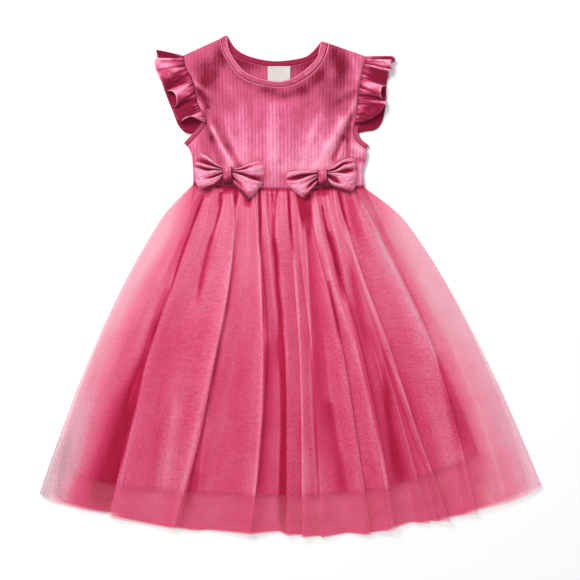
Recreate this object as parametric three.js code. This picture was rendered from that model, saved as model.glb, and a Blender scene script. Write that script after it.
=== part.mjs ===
import * as THREE from "three";

// A toddler's party dress, laid flat on its back with the front up.
// Millimetres, +Z up, the neck towards +Y and the hem towards -Y.
// The origin is under the middle of the dress, on the surface that it lies on.

// Wall thicknesses
const KNIT_WALL = 1.5;
const TULLE_WALL = 1.2;
const LINING_WALL = 1.0;
const RUFFLE_WALL = 1.2;
const SEAM_GAP = 0.3;
const BINDING_GAP = 0.5;

// Heights of the layers above the surface, from the back of the dress to its front
const BACK_PLEAT = 0.5;
const LINING_BACK_FOOT = TULLE_WALL + BACK_PLEAT + SEAM_GAP;
const LINING_FRONT_FOOT = LINING_BACK_FOOT + LINING_WALL + SEAM_GAP;
const LINING_FRONT_TOP = LINING_FRONT_FOOT + LINING_WALL;
const LINING_WAVE = 1.4;
const TULLE_CLEARANCE = TULLE_WALL + 0.45;
const TULLE_LOW = TULLE_WALL + BACK_PLEAT + TULLE_CLEARANCE;
const TULLE_AT_WAIST = LINING_FRONT_TOP + TULLE_CLEARANCE;
const TULLE_HIGH = TULLE_AT_WAIST + LINING_WAVE;
const BODICE_EDGE = 2 * KNIT_WALL + SEAM_GAP;
const BODICE_AT_WAIST = 6.1;
const BODICE_CROWN = 3.4;
const NECK_CROWN = 2.0;

// Bodice
const RIBS = 42;
const RIB_HEIGHT = 0.45;
const BODICE_ROWS = 12;
const BACK_COLUMNS = 21;
const SHOULDER_SHARE = 4 / 21;
const NECK_EVENNESS = 0.5;
const SIDE_DECAY = 6;
const BINDING_RISE = 0.6;
const BINDING_BULGE = 0.5;
const ARM_BINDING_WIDTH = 6;
const ARM_BINDING_LENGTH = 0.27;
const LABEL = { width: 28.5, height: 24, wall: 1.0, x: -14.5, top: 275 };

// Skirt
const HEM_SCALLOP = 2.5;
const GATHER_HEIGHT = 0.45;
const GATHER_REACH = 35;
const FOLD_START = 0.12;
const FOLD_CREST = 0.8;
const FOLD_STEEPNESS = 0.6;
const FOLD_MINIMUM = 4;
const CREST_COLUMNS = [0, 0.3, 0.6, 0.82];
const SKIRT_ROWS = [0, 0.03, 0.08, 0.16, 0.28, 0.42, 0.58, 0.73, 0.84, 0.92, 1];
const BACK_ROWS = [0, 0.06, 0.16, 0.32, 0.55, 0.8, 1];
const LINE_STOPS = [0, 0.12, 0.48, 1];
const LINING_REACH = { full: -20, none: -45 };

// Sleeve ruffles
const RUFFLE_GAP = 0.6;
const RUFFLE_ROOT = 3.7;
const RUFFLE_BODY = 5.2;
const RUFFLE_STEPS = 56;
const RUFFLE_REACHES = [0, 0.3, 0.6, 0.85, 1];

// Bows
const BOW_FOOT = 8.7;
const BOW_RIM = 1.0;
const BOW_PLEAT = 1.5;
const BOW_WAIST = 5.2;
const KNOT = { length: 12.5, wall: 1.4, halfWidth: 6.5, foot: 8.4, head: 15.4, corner: 1.5 };

// The waist seam, from the wearer's right side to the left
const WAIST_SEAM = [
  { x: -122, y: 126.6 },
  { x: -70, y: 122.6 },
  { x: -16, y: 120.4 },
  { x: 40, y: 121 },
  { x: 92, y: 123.2 },
];

// Side seams from the waist up, and armholes from the underarm up to the shoulder
const SIDE_SEAM = {
  left: [
    { x: -122, y: 126.6 },
    { x: -121.5, y: 138 },
    { x: -123.5, y: 162 },
    { x: -129, y: 175 },
  ],
  right: [
    { x: 92, y: 123.2 },
    { x: 90, y: 142.5 },
    { x: 95, y: 160 },
    { x: 94.5, y: 171 },
  ],
};
const ARMHOLE = {
  left: [
    { x: -129, y: 175 },
    { x: -106, y: 204 },
    { x: -115.8, y: 227.3 },
    { x: -122.6, y: 257.3 },
    { x: -131.4, y: 273.5 },
    { x: -134.5, y: 288 },
  ],
  right: [
    { x: 94.5, y: 171 },
    { x: 83, y: 181 },
    { x: 78.6, y: 193.5 },
    { x: 81.8, y: 208.5 },
    { x: 83.8, y: 224.8 },
    { x: 84.9, y: 242.3 },
    { x: 88, y: 260.5 },
    { x: 95, y: 286.8 },
  ],
};

// The neckline: the finished edge of the binding, and the seam that joins it to the bodice
const NECK_FRONT = [
  { edgeX: -79.5, edgeY: 313.8, seamX: -88.5, seamY: 309 },
  { edgeX: -77, edgeY: 296.4, seamX: -85.4, seamY: 292.8 },
  { edgeX: -68.6, edgeY: 281, seamX: -78.3, seamY: 279.8 },
  { edgeX: -56.6, edgeY: 267.6, seamX: -67.4, seamY: 265.3 },
  { edgeX: -38.8, edgeY: 259.3, seamX: -50.8, seamY: 254.5 },
  { edgeX: -20.8, edgeY: 255.8, seamX: -20.8, seamY: 248 },
  { edgeX: -6, edgeY: 256.5, seamX: -6, seamY: 248.6 },
  { edgeX: 10.1, edgeY: 264.1, seamX: 10.1, seamY: 253.9 },
  { edgeX: 24.5, edgeY: 276, seamX: 28, seamY: 265.3 },
  { edgeX: 32.9, edgeY: 285.6, seamX: 40, seamY: 279.8 },
  { edgeX: 36.5, edgeY: 300, seamX: 46, seamY: 292.8 },
  { edgeX: 38, edgeY: 306, seamX: 48.4, seamY: 303 },
];
const NECK_BACK = [
  { edgeX: -79.5, edgeY: 313.8, seamX: -88.5, seamY: 309 },
  { edgeX: -68.6, edgeY: 297.5, seamX: -76, seamY: 291.5 },
  { edgeX: -50.8, edgeY: 287.4, seamX: -55, seamY: 280 },
  { edgeX: -19.5, edgeY: 281.6, seamX: -19.5, seamY: 274.1 },
  { edgeX: 13.8, edgeY: 285.6, seamX: 18, seamY: 278.5 },
  { edgeX: 26.8, edgeY: 292.8, seamX: 33, seamY: 286.5 },
  { edgeX: 38, edgeY: 306, seamX: 48.4, seamY: 303 },
];

// Lines between the skirt's folds. The first four columns give the line's x at the waist, an eighth
// and a half of the way down and at the hem, end is the hem's y, rise is the height of the fold that
// starts at this line, and lean is 1 where that fold's crest is at its right and -1 at its left.
const FOLD_LINES = [
  { waist: -122, upper: -164.5, middle: -238, hem: -314, end: -259, rise: 3, lean: 1 },
  { waist: -117, upper: -157, middle: -222, hem: -285.8, end: -272.4, rise: 6, lean: 1 },
  { waist: -109.5, upper: -125, middle: -178.3, hem: -225.8, end: -284.6, rise: 7, lean: -1 },
  { waist: -93.3, upper: -95.8, middle: -143.3, hem: -173.3, end: -299.5, rise: 10, lean: 1 },
  { waist: -72, upper: -69.5, middle: -93.3, hem: -147, end: -300.8, rise: 4, lean: 1 },
  { waist: -59.5, upper: -55.8, middle: -68.3, hem: -107, end: -305, rise: 9, lean: 1 },
  { waist: -44.5, upper: -41.4, middle: -35, hem: -50.8, end: -307.6, rise: 6, lean: -1 },
  { waist: -30.8, upper: -28.3, middle: -17, hem: -14.5, end: -307, rise: 1, lean: 1 },
  { waist: -24.5, upper: -21.4, middle: -5.8, hem: -4.5, end: -308.3, rise: 8, lean: -1 },
  { waist: -2, upper: 1.1, middle: 13, hem: 15.5, end: -310.8, rise: 8, lean: -1 },
  { waist: 6.8, upper: 9.3, middle: 27.4, hem: 39.3, end: -312, rise: 6, lean: -1 },
  { waist: 15.5, upper: 19.3, middle: 43, hem: 73, end: -308.3, rise: 7, lean: 1 },
  { waist: 23, upper: 28, middle: 64.3, hem: 100.5, end: -308.3, rise: 10, lean: 1 },
  { waist: 31.8, upper: 41.8, middle: 83, hem: 129.3, end: -300.8, rise: 5, lean: -1 },
  { waist: 46.8, upper: 56.8, middle: 102, hem: 153, end: -295, rise: 7, lean: 1 },
  { waist: 51.8, upper: 63, middle: 111, hem: 174.3, end: -294, rise: 9, lean: 1 },
  { waist: 58, upper: 69.9, middle: 120.5, hem: 195.5, end: -290.8, rise: 9, lean: 1 },
  { waist: 80.5, upper: 106.8, middle: 174.3, hem: 230, end: -280, rise: 7, lean: -1 },
  { waist: 88, upper: 121.8, middle: 214, hem: 268.8, end: -272, rise: 5, lean: 1 },
  { waist: 92, upper: 145.5, middle: 226.8, hem: 314, end: -250, rise: 0, lean: 1 },
];

// The lining's sides, by the distance down from the waist, and its hem
const LINING_SIDES = [
  { down: 0, left: -122, right: 92 },
  { down: 48, left: -131, right: 118 },
  { down: 88, left: -153, right: 137 },
  { down: 143, left: -188, right: 162 },
  { down: 204, left: -223, right: 188 },
  { down: 268, left: -255, right: 214 },
  { down: 330, left: -278, right: 234 },
];
const LINING_HEM = [
  { x: -280, y: -232 },
  { x: -200, y: -251 },
  { x: -125, y: -257 },
  { x: -20, y: -260 },
  { x: 80, y: -257 },
  { x: 160, y: -238 },
  { x: 236, y: -208 },
];

// Sleeve ruffles, from the front underarm over the shoulder to the back underarm. The cloth leaves the
// armhole at the share along, its free edge is at the point edge, lift is how high its wave stands, and
// turn goes from 0 on the front to 1 on the back.
const RUFFLE = {
  left: [
    { along: 0.31, edgeX: -125.8, edgeY: 191, lift: 2, turn: 0 },
    { along: 0.38, edgeX: -137, edgeY: 202.3, lift: 9, turn: 0 },
    { along: 0.45, edgeX: -145.8, edgeY: 214.8, lift: 1, turn: 0 },
    { along: 0.53, edgeX: -152, edgeY: 227.3, lift: 9, turn: 0 },
    { along: 0.61, edgeX: -157, edgeY: 242.3, lift: 0, turn: 0 },
    { along: 0.7, edgeX: -163.3, edgeY: 257.3, lift: 7, turn: 0 },
    { along: 0.8, edgeX: -167.6, edgeY: 272.3, lift: 2, turn: 0 },
    { along: 0.91, edgeX: -169.5, edgeY: 284.1, lift: 7, turn: 0 },
    { along: 1, edgeX: -168.3, edgeY: 294, lift: 2, turn: 0.5 },
    { along: 0.92, edgeX: -163.3, edgeY: 286, lift: 0, turn: 1 },
    { along: 0.75, edgeX: -159.5, edgeY: 259.8, lift: 0, turn: 1 },
    { along: 0.6, edgeX: -150.8, edgeY: 234.8, lift: 0, turn: 1 },
    { along: 0.46, edgeX: -138.3, edgeY: 214.8, lift: 0, turn: 1 },
    { along: 0.34, edgeX: -121, edgeY: 207, lift: 0, turn: 1 },
  ],
  right: [
    { along: 0.32, edgeX: 88, edgeY: 203.5, lift: 1, turn: 0 },
    { along: 0.39, edgeX: 104.3, edgeY: 212.3, lift: 5, turn: 0 },
    { along: 0.46, edgeX: 114.3, edgeY: 222.3, lift: 7, turn: 0 },
    { along: 0.53, edgeX: 117.4, edgeY: 231, lift: 1, turn: 0 },
    { along: 0.6, edgeX: 118.6, edgeY: 241, lift: 9, turn: 0 },
    { along: 0.67, edgeX: 118.6, edgeY: 249.8, lift: 1, turn: 0 },
    { along: 0.74, edgeX: 120.5, edgeY: 258.5, lift: 4, turn: 0 },
    { along: 0.82, edgeX: 123, edgeY: 267.3, lift: 1, turn: 0 },
    { along: 0.91, edgeX: 128.6, edgeY: 276, lift: 7, turn: 0 },
    { along: 1, edgeX: 131.1, edgeY: 285, lift: 2, turn: 0.5 },
    { along: 0.92, edgeX: 125.5, edgeY: 274.8, lift: 0, turn: 1 },
    { along: 0.76, edgeX: 119.3, edgeY: 252.3, lift: 0, turn: 1 },
    { along: 0.6, edgeX: 117.4, edgeY: 228.5, lift: 0, turn: 1 },
    { along: 0.46, edgeX: 113.6, edgeY: 209.5, lift: 0, turn: 1 },
    { along: 0.37, edgeX: 105, edgeY: 200, lift: 0, turn: 1 },
    { along: 0.31, edgeX: 92, edgeY: 200, lift: 0, turn: 1 },
  ],
};

// Soft creases in the bodice front. A positive depth is a trough and a negative one a ridge.
const BODICE_CREASES = [
  { fromX: -105.8, fromY: 204.8, toX: -73.3, toY: 167.3, depth: 1.6, width: 6 },
  { fromX: -85.8, fromY: 207.3, toX: -65.8, toY: 142.3, depth: 1.0, width: 7 },
  { fromX: 76.8, fromY: 201, toX: 49.3, toY: 151, depth: 1.6, width: 6 },
  { fromX: 71.8, fromY: 226, toX: 34.3, toY: 169.8, depth: -0.8, width: 8 },
  { fromX: -94.5, fromY: 270, toX: -96, toY: 220, depth: 1.0, width: 11 },
  { fromX: 70.3, fromY: 276, toX: 66.8, toY: 238.5, depth: 1.0, width: 11 },
];

// The bows. Reach is how far a wing goes from the knot, and top and bottom are its corners' heights.
const BOWS = [
  {
    name: "bow_left", x: -79.5, y: 142.3, turn: 0.02,
    leftReach: 39.5, leftTop: 23, leftBottom: 24, rightReach: 44, rightTop: 16, rightBottom: 31,
  },
  {
    name: "bow_right", x: 38.8, y: 136, turn: 0.08,
    leftReach: 42, leftTop: 10, leftBottom: 25, rightReach: 43, rightTop: 20, rightBottom: 21,
  },
];
const BOW_SWELL = [
  { out: 0, height: 4.9 },
  { out: 0.16, height: 4.9 },
  { out: 0.45, height: 9.5 },
  { out: 0.8, height: 8 },
  { out: 1, height: 2 },
];
const BOW_OUTS = [0, 0.08, 0.17, 0.3, 0.45, 0.62, 0.8, 0.92, 1];
const BOW_ACROSS = [-1, -0.85, -0.55, -0.28, 0, 0.28, 0.55, 0.85, 1];

const MATERIALS = {
  rib_knit: new THREE.MeshStandardMaterial({ color: 0xd85c86, roughness: 0.85, metalness: 0 }),
  rib_binding: new THREE.MeshStandardMaterial({ color: 0xdd6a90, roughness: 0.85, metalness: 0 }),
  ruffle_cloth: new THREE.MeshStandardMaterial({ color: 0xd45580, roughness: 0.8, metalness: 0 }),
  bow_cloth: new THREE.MeshStandardMaterial({ color: 0xe07a9e, roughness: 0.85, metalness: 0 }),
  tulle: new THREE.MeshStandardMaterial({ color: 0xe85a8b, roughness: 0.7, metalness: 0 }),
  lining: new THREE.MeshStandardMaterial({ color: 0xd42f62, roughness: 0.8, metalness: 0 }),
  label: new THREE.MeshStandardMaterial({ color: 0xdedad2, roughness: 0.8, metalness: 0 }),
};

const { lerp, smoothstep, clamp } = THREE.MathUtils;
const point = (x, y, z) => new THREE.Vector3(x, y, z);
const shares = (count) => Array.from({ length: count + 1 }, (_, i) => i / count);

// A table as a smooth function of one of its columns.
function smoothTable(rows, by) {
  const names = Object.keys(rows[0]).filter((name) => name !== by);
  const values = rows.flatMap((row) => names.map((name) => row[name]));
  const spline = new THREE.CubicInterpolant(rows.map((row) => row[by]), values, names.length);
  return (at) => {
    const found = spline.evaluate(at);
    return Object.fromEntries(names.map((name, i) => [name, found[i]]));
  };
}

function planCurve(rows, x = "x", y = "y") {
  return new THREE.SplineCurve(rows.map((row) => new THREE.Vector2(row[x], row[y])));
}

function joinedCurve(...curves) {
  const path = new THREE.CurvePath();
  curves.forEach((curve) => path.add(curve));
  return path;
}

// A path of straight chords through a curve's points at the given shares.
function chordPath(at, stops) {
  return joinedCurve(...stops.slice(1).map((stop, i) => new THREE.LineCurve(at(stops[i]), at(stop))));
}

// A flat patch between a bottom and a top curve, bent near its sides to the two side curves.
function panelPatch(bottom, top, left, right) {
  const straight = (share, up) => bottom(share).lerp(top(share), up);
  return (across, up) => {
    const leftBend = left.getPoint(up).sub(straight(0, up));
    const rightBend = right.getPoint(up).sub(straight(1, up));
    return straight(across, up)
      .addScaledVector(leftBend, (1 - across) ** SIDE_DECAY)
      .addScaledVector(rightBend, across ** SIDE_DECAY);
  };
}

// Two triangles for each cell of a grid of vertex numbers.
function coverGrid(faces, grid, reversed) {
  for (let j = 0; j + 1 < grid.length; j += 1) {
    for (let i = 0; i + 1 < grid[j].length; i += 1) {
      const [a, b, c, d] = [grid[j][i], grid[j][i + 1], grid[j + 1][i + 1], grid[j + 1][i]];
      faces.push(...(reversed ? [a, c, b, a, d, c] : [a, b, c, a, c, d]));
    }
  }
}

// Triangles between two runs of vertices that may differ in number.
function bridgeRuns(faces, first, second) {
  let i = 0;
  let j = 0;
  while (i + 1 < first.length || j + 1 < second.length) {
    const nextFirst = (i + 1) / (first.length - 1);
    const nextSecond = (j + 1) / (second.length - 1);
    const firstMoves = j + 1 === second.length || (i + 1 < first.length && nextFirst <= nextSecond);
    faces.push(first[i], second[j], firstMoves ? first[i + 1] : second[j + 1]);
    i += firstMoves ? 1 : 0;
    j += firstMoves ? 0 : 1;
  }
}

// A closed wall between two grids of points that share an outline.
function wallGeometry(outer, inner) {
  const vertices = [];
  const faces = [];
  const put = (grid) => grid.map((row) => row.map((p) => vertices.push(p) - 1));
  const top = put(outer);
  const under = put(inner);
  coverGrid(faces, top, false);
  coverGrid(faces, under, true);
  const side = (grid, end) => grid.map((row) => row[end ? row.length - 1 : 0]);
  bridgeRuns(faces, top[0], under[0]);
  bridgeRuns(faces, top.at(-1).toReversed(), under.at(-1).toReversed());
  bridgeRuns(faces, side(top, true), side(under, true));
  bridgeRuns(faces, side(top, false).toReversed(), side(under, false).toReversed());
  let volume = 0;
  for (let i = 0; i < faces.length; i += 3) {
    const [a, b, c] = faces.slice(i, i + 3).map((n) => vertices[n]);
    volume += a.dot(b.clone().cross(c));
  }
  const geometry = new THREE.BufferGeometry().setFromPoints(vertices);
  geometry.setIndex(volume < 0 ? faces.toReversed() : faces);
  geometry.computeVertexNormals();
  return geometry;
}

// A grid moved along its own normals, away from the side that turns with its rows and columns.
function offsetGrid(grid, distance) {
  const at = (j, i) => grid[clamp(j, 0, grid.length - 1)][clamp(i, 0, grid[0].length - 1)];
  return grid.map((row, j) =>
    row.map((p, i) => {
      const across = at(j, i + 1).clone().sub(at(j, i - 1)).normalize();
      const along = at(j + 1, i).clone().sub(at(j - 1, i)).normalize();
      return p.clone().addScaledVector(across.cross(along).normalize(), distance);
    }),
  );
}

const gridOf = (columns, rows, place) => rows.map((row) => columns.map((column) => place(column, row)));

function addMesh(group, name, geometry, material) {
  const mesh = new THREE.Mesh(geometry, MATERIALS[material]);
  mesh.name = name;
  group.add(mesh);
  return mesh;
}

// Bodice

const bodiceRows = shares(BODICE_ROWS);
const waistCurve = joinedCurve(planCurve(WAIST_SEAM));
const sideSeams = { left: planCurve(SIDE_SEAM.left), right: planCurve(SIDE_SEAM.right) };
const armholes = { left: planCurve(ARMHOLE.left), right: planCurve(ARMHOLE.right) };
const sides = {
  left: joinedCurve(sideSeams.left, armholes.left),
  right: joinedCurve(sideSeams.right, armholes.right),
};
const sideChords = {
  left: chordPath((up) => sides.left.getPoint(up), bodiceRows),
  right: chordPath((up) => sides.right.getPoint(up), bodiceRows),
};

// A point on the bodice's edge, by its share of the way from the underarm to the shoulder.
function armRoot(side, along) {
  const underarm = sideSeams[side].getLength() / sides[side].getLength();
  return sideChords[side].getPoint(lerp(underarm, 1, clamp(along, 0, 1)));
}

// A neckline curve, with its points spaced halfway between evenly in x and evenly along it.
function necklineOf(rows, x, y) {
  const curve = planCurve(rows, x, y);
  const samples = curve.getSpacedPoints(60);
  const shareAtX = smoothTable(samples.map((p, i) => ({ x: p.x, share: i / 60 })), "x");
  return (across) => {
    const { share } = shareAtX(lerp(samples[0].x, samples.at(-1).x, across));
    return curve.getPointAt(clamp(lerp(across, share, NECK_EVENNESS), 0, 1));
  };
}

// The top edge of a bodice panel: a shoulder, the neckline's seam and the other shoulder.
function bodiceTop(neckRows) {
  const seam = necklineOf(neckRows, "seamX", "seamY");
  const [from, to] = [armholes.left.getPoint(1), armholes.right.getPoint(1)];
  return (across) => {
    if (across < SHOULDER_SHARE) return from.clone().lerp(seam(0), across / SHOULDER_SHARE);
    const fromRight = (1 - across) / SHOULDER_SHARE;
    if (fromRight < 1) return to.clone().lerp(seam(1), fromRight);
    return seam((across - SHOULDER_SHARE) / (1 - 2 * SHOULDER_SHARE));
  };
}

function bodicePatch(neckRows) {
  const bottom = (across) => waistCurve.getPoint(across);
  return panelPatch(bottom, bodiceTop(neckRows), sides.left, sides.right);
}

function creaseAt(x, y) {
  return BODICE_CREASES.reduce((sum, crease) => {
    const from = new THREE.Vector2(crease.fromX, crease.fromY);
    const run = new THREE.Vector2(crease.toX, crease.toY).sub(from);
    const away = new THREE.Vector2(x, y).sub(from);
    const share = clamp(away.dot(run) / run.lengthSq(), 0, 1);
    const distance = away.addScaledVector(run, -share).length();
    return sum - crease.depth * Math.exp(-((distance / crease.width) ** 2));
  }, 0);
}

// Height of the bodice front's outer face before its ribs.
function bodiceHeight(across, up, x, y) {
  const rise = smoothstep(up, 0, 0.35);
  const edge = lerp(BODICE_AT_WAIST, BODICE_EDGE, rise);
  const crown = lerp(lerp(0.3, BODICE_CROWN, rise), NECK_CROWN, smoothstep(up, 0.5, 1));
  const inland = 1 - Math.abs(2 * across - 1) ** 3;
  const seamFade = smoothstep(inland, 0, 0.5) * rise * (1 - smoothstep(up, 0.85, 1));
  return edge + crown * inland + creaseAt(x, y) * seamFade;
}

function bodiceFront() {
  const patch = bodicePatch(NECK_FRONT);
  const place = (across, up, raised) => {
    const { x, y } = patch(across, up);
    return point(x, y, bodiceHeight(across, up, x, y) + raised);
  };
  const ribbed = shares(2 * RIBS).map((across, i) => ({ across, raised: (i % 2) * RIB_HEIGHT }));
  const outer = gridOf(ribbed, bodiceRows, (column, up) => place(column.across, up, column.raised));
  const plain = gridOf(shares(RIBS), bodiceRows, (across, up) => place(across, up, -KNIT_WALL));
  return wallGeometry(outer, plain);
}

function bodiceBack() {
  const patch = bodicePatch(NECK_BACK);
  const layer = (z) => (across, up) => point(patch(across, up).x, patch(across, up).y, z);
  const grid = (z) => gridOf(shares(BACK_COLUMNS), bodiceRows, layer(z));
  return wallGeometry(grid(KNIT_WALL), grid(0));
}

// Heights along the top of the bodice, for what is sewn to its neckline.
function neckHeight(share) {
  return bodiceHeight(lerp(SHOULDER_SHARE, 1 - SHOULDER_SHARE, share), 1, 0, 0);
}

function neckBinding(rows, steps, heightAt, wall) {
  const edge = necklineOf(rows, "edgeX", "edgeY");
  const seam = necklineOf(rows, "seamX", "seamY");
  const span = (share, inward) => {
    const [a, b] = [edge(share), seam(share)];
    return a.clone().lerp(b, inward * (1 - BINDING_GAP / a.distanceTo(b)));
  };
  const layer = (extra) => (share, inward) => {
    const { x, y } = span(share, inward);
    const bulge = extra > 0 ? BINDING_BULGE * Math.sin(Math.PI * inward) : 0;
    return point(x, y, heightAt(share) + extra + bulge);
  };
  const columns = shares(steps);
  const across = shares(3);
  return wallGeometry(
    gridOf(columns, across, layer(wall)),
    gridOf(columns, across, layer(0)),
  );
}

function armBinding(side, foot, wall) {
  const outward = side === "left" ? 1 : -1;
  const place = (z) => (share, out) => {
    const along = share * ARM_BINDING_LENGTH;
    const root = armRoot(side, along);
    const tangent = armholes[side].getTangentAt(along);
    const reach = lerp(BINDING_GAP, ARM_BINDING_WIDTH, out) * outward;
    return point(root.x - tangent.y * reach, root.y + tangent.x * reach, z);
  };
  const columns = shares(7);
  const across = [0, 1];
  return wallGeometry(
    gridOf(columns, across, place(foot + wall)),
    gridOf(columns, across, place(foot)),
  );
}

function neckLabel() {
  const foot = KNIT_WALL + SEAM_GAP;
  const layer = (z) => (across, down) =>
    point(LABEL.x + (across - 0.5) * LABEL.width, LABEL.top - down * LABEL.height, z);
  const columns = shares(4);
  const rows = shares(3);
  return wallGeometry(
    gridOf(columns, rows, layer(foot + LABEL.wall)),
    gridOf(columns, rows, layer(foot)),
  );
}

// Sleeve ruffles

function sleeveRuffle(side) {
  const rows = RUFFLE[side].map((row, i, all) => ({ ...row, share: i / (all.length - 1) }));
  const at = smoothTable(rows, "share");
  const turnAt = (share) => Math.PI * clamp(at(share).turn, 0, 1);
  const place = (wall) => (share, reach) => {
    const row = at(share);
    const root = armRoot(side, row.along);
    const edge = new THREE.Vector2(row.edgeX, row.edgeY);
    const gap = RUFFLE_GAP / root.distanceTo(edge);
    const plan = root.lerp(edge, lerp(gap, 1, reach));
    const radius = lerp(RUFFLE_ROOT, RUFFLE_BODY, smoothstep(reach, 0, 0.4)) / 2;
    const turn = turnAt(share);
    const lift = Math.max(row.lift, 0) * reach ** 1.2 * (1 - turn / Math.PI);
    const sunk = radius - wall;
    return point(plan.x, plan.y + sunk * Math.sin(turn), radius + sunk * Math.cos(turn) + lift);
  };
  const columns = shares(RUFFLE_STEPS);
  const outer = gridOf(columns, RUFFLE_REACHES, place(0));
  const folded = gridOf(columns, RUFFLE_REACHES, place(RUFFLE_WALL));
  const offset = offsetGrid(outer, side === "left" ? -RUFFLE_WALL : RUFFLE_WALL);
  const inner = offset.map((row, j) =>
    row.map((p, i) => p.lerp(folded[j][i], smoothstep(Math.sin(turnAt(columns[i])), 0, 0.3))),
  );
  return wallGeometry(outer, inner);
}

// Skirt

const waistAt = smoothTable(WAIST_SEAM, "x");
const foldLines = FOLD_LINES.map((line) => {
  const stops = [line.waist, line.upper, line.middle, line.hem];
  return smoothTable(stops.map((x, i) => ({ down: LINE_STOPS[i], x })), "down");
});

// Height of a fold across its width, with a slow rise to the crest and a short fall after it.
function foldShape(share, lean) {
  const from = lean > 0 ? share : 1 - share;
  const turn = from < FOLD_CREST ? from / FOLD_CREST : (1 - from) / (1 - FOLD_CREST);
  return 0.5 - 0.5 * Math.cos(Math.PI * turn);
}

function foldColumns(stops) {
  const inFolds = FOLD_LINES.slice(0, -1).flatMap((line, fold) =>
    stops
      .map((stop) => ({ fold, share: line.lean > 0 || stop === 0 ? stop : 1 - stop }))
      .sort((a, b) => a.share - b.share),
  );
  return [...inFolds, { fold: FOLD_LINES.length - 2, share: 1 }];
}

// Where a column of the skirt lies in plan, and how high its fold stands there.
function skirtPlace({ fold, share }, down) {
  const [line, next] = [FOLD_LINES[fold], FOLD_LINES[fold + 1]];
  const x = lerp(foldLines[fold](down).x, foldLines[fold + 1](down).x, share);
  const start = waistAt(lerp(line.waist, next.waist, share)).y - SEAM_GAP;
  const shape = foldShape(share, line.lean);
  const scallop = HEM_SCALLOP * shape * down ** 3;
  const width = foldLines[fold + 1](down).x - foldLines[fold](down).x;
  const rise = Math.min(
    line.rise * lerp(FOLD_START, 1, smoothstep(down, 0, 0.4)),
    FOLD_STEEPNESS * Math.max(width - FOLD_MINIMUM, 0),
  );
  return { x, y: lerp(start, lerp(line.end, next.end, share), down) - scallop, shape, rise, width };
}

const liningSides = smoothTable(LINING_SIDES, "down");
const liningHem = smoothTable(LINING_HEM, "x");

// 1 where the lining lies under a point or close by, and 0 farther out.
function overLining(x, y) {
  const { left, right } = liningSides(waistAt(x).y - y);
  const inside = Math.min(x - left, right - x, y - liningHem(x).y);
  return smoothstep(inside, LINING_REACH.none, LINING_REACH.full);
}

function tulleFront() {
  const columns = foldColumns(CREST_COLUMNS).map((column, i) => ({ ...column, sign: i % 2 ? 1 : -1 }));
  const outer = gridOf(columns, SKIRT_ROWS, (column, down) => {
    const { x, y, shape, rise, width } = skirtPlace(column, down);
    const high = lerp(TULLE_AT_WAIST, TULLE_HIGH, smoothstep(down, 0, 0.1));
    const base = lerp(TULLE_LOW, high, overLining(x, y));
    const gather = GATHER_HEIGHT * Math.exp((y - waistAt(x).y) / GATHER_REACH) * clamp((width - 4) / 8, 0, 1);
    return point(x, y, base + rise * shape + gather * (1 + column.sign));
  });
  return wallGeometry(outer, offsetGrid(outer, TULLE_WALL));
}

function tulleBack() {
  const columns = foldColumns([0, 0.5]);
  const outer = gridOf(columns, BACK_ROWS, (column, down) => {
    const { x, y, shape } = skirtPlace(column, down);
    return point(x, y, TULLE_WALL + BACK_PLEAT * shape);
  });
  const under = outer.map((row) => row.map((p) => point(p.x, p.y, 0)));
  return wallGeometry(outer, under);
}

function liningPlace(across, down) {
  const side = liningSides(down * LINING_SIDES.at(-1).down);
  const x = lerp(side.left, side.right, across);
  const atWaist = waistAt(lerp(WAIST_SEAM[0].x, WAIST_SEAM.at(-1).x, across)).y - SEAM_GAP;
  return { x, y: lerp(atWaist, liningHem(x).y, down) };
}

function liningLayer(columns, rows, heightAt) {
  const outer = gridOf(columns, rows, (across, down) => {
    const { x, y } = liningPlace(across, down);
    return point(x, y, heightAt(across, down));
  });
  const under = outer.map((row) => row.map((p) => point(p.x, p.y, p.z - LINING_WALL)));
  return wallGeometry(outer, under);
}

function liningFront() {
  const waves = 7;
  return liningLayer(shares(28), shares(8), (across, down) => {
    const wave = 0.5 - 0.5 * Math.cos(2 * Math.PI * waves * across);
    return LINING_FRONT_TOP + LINING_WAVE * wave * smoothstep(down, 0.1, 0.5) * 0.9;
  });
}

function liningBack() {
  return liningLayer(shares(14), shares(6), () => LINING_BACK_FOOT + LINING_WALL);
}

// Bows

const bowSwell = smoothTable(BOW_SWELL, "out");

function bowBody(bow) {
  const outs = [...BOW_OUTS.slice(1).toReversed().map((out) => -out), ...BOW_OUTS];
  const place = (out, across, top) => {
    const size = Math.abs(out);
    const wing = out < 0 ? "left" : "right";
    const corner = bow[wing + (across > 0 ? "Top" : "Bottom")];
    const half = lerp(BOW_WAIST, corner, smoothstep(size, 0.12, 1.3) * 1.08);
    const reach = bow[wing + "Reach"] * out * (1 - 0.16 * across ** 2 * size ** 2);
    const dome = bowSwell(size).height * Math.sqrt(Math.max(1 - across ** 2, 0));
    const pleat = BOW_PLEAT * smoothstep(size, 0.12, 0.3) * (1 - smoothstep(size, 0.5, 1));
    const groove = pleat * (0.5 + 0.5 * Math.cos(3.5 * Math.PI * across)) * (1 - across ** 2);
    return point(reach, half * across, BOW_FOOT + (top ? BOW_RIM + dome - groove : 0));
  };
  const layer = (top) => gridOf(outs, BOW_ACROSS, (out, across) => place(out, across, top));
  return wallGeometry(layer(true), layer(false));
}

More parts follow.
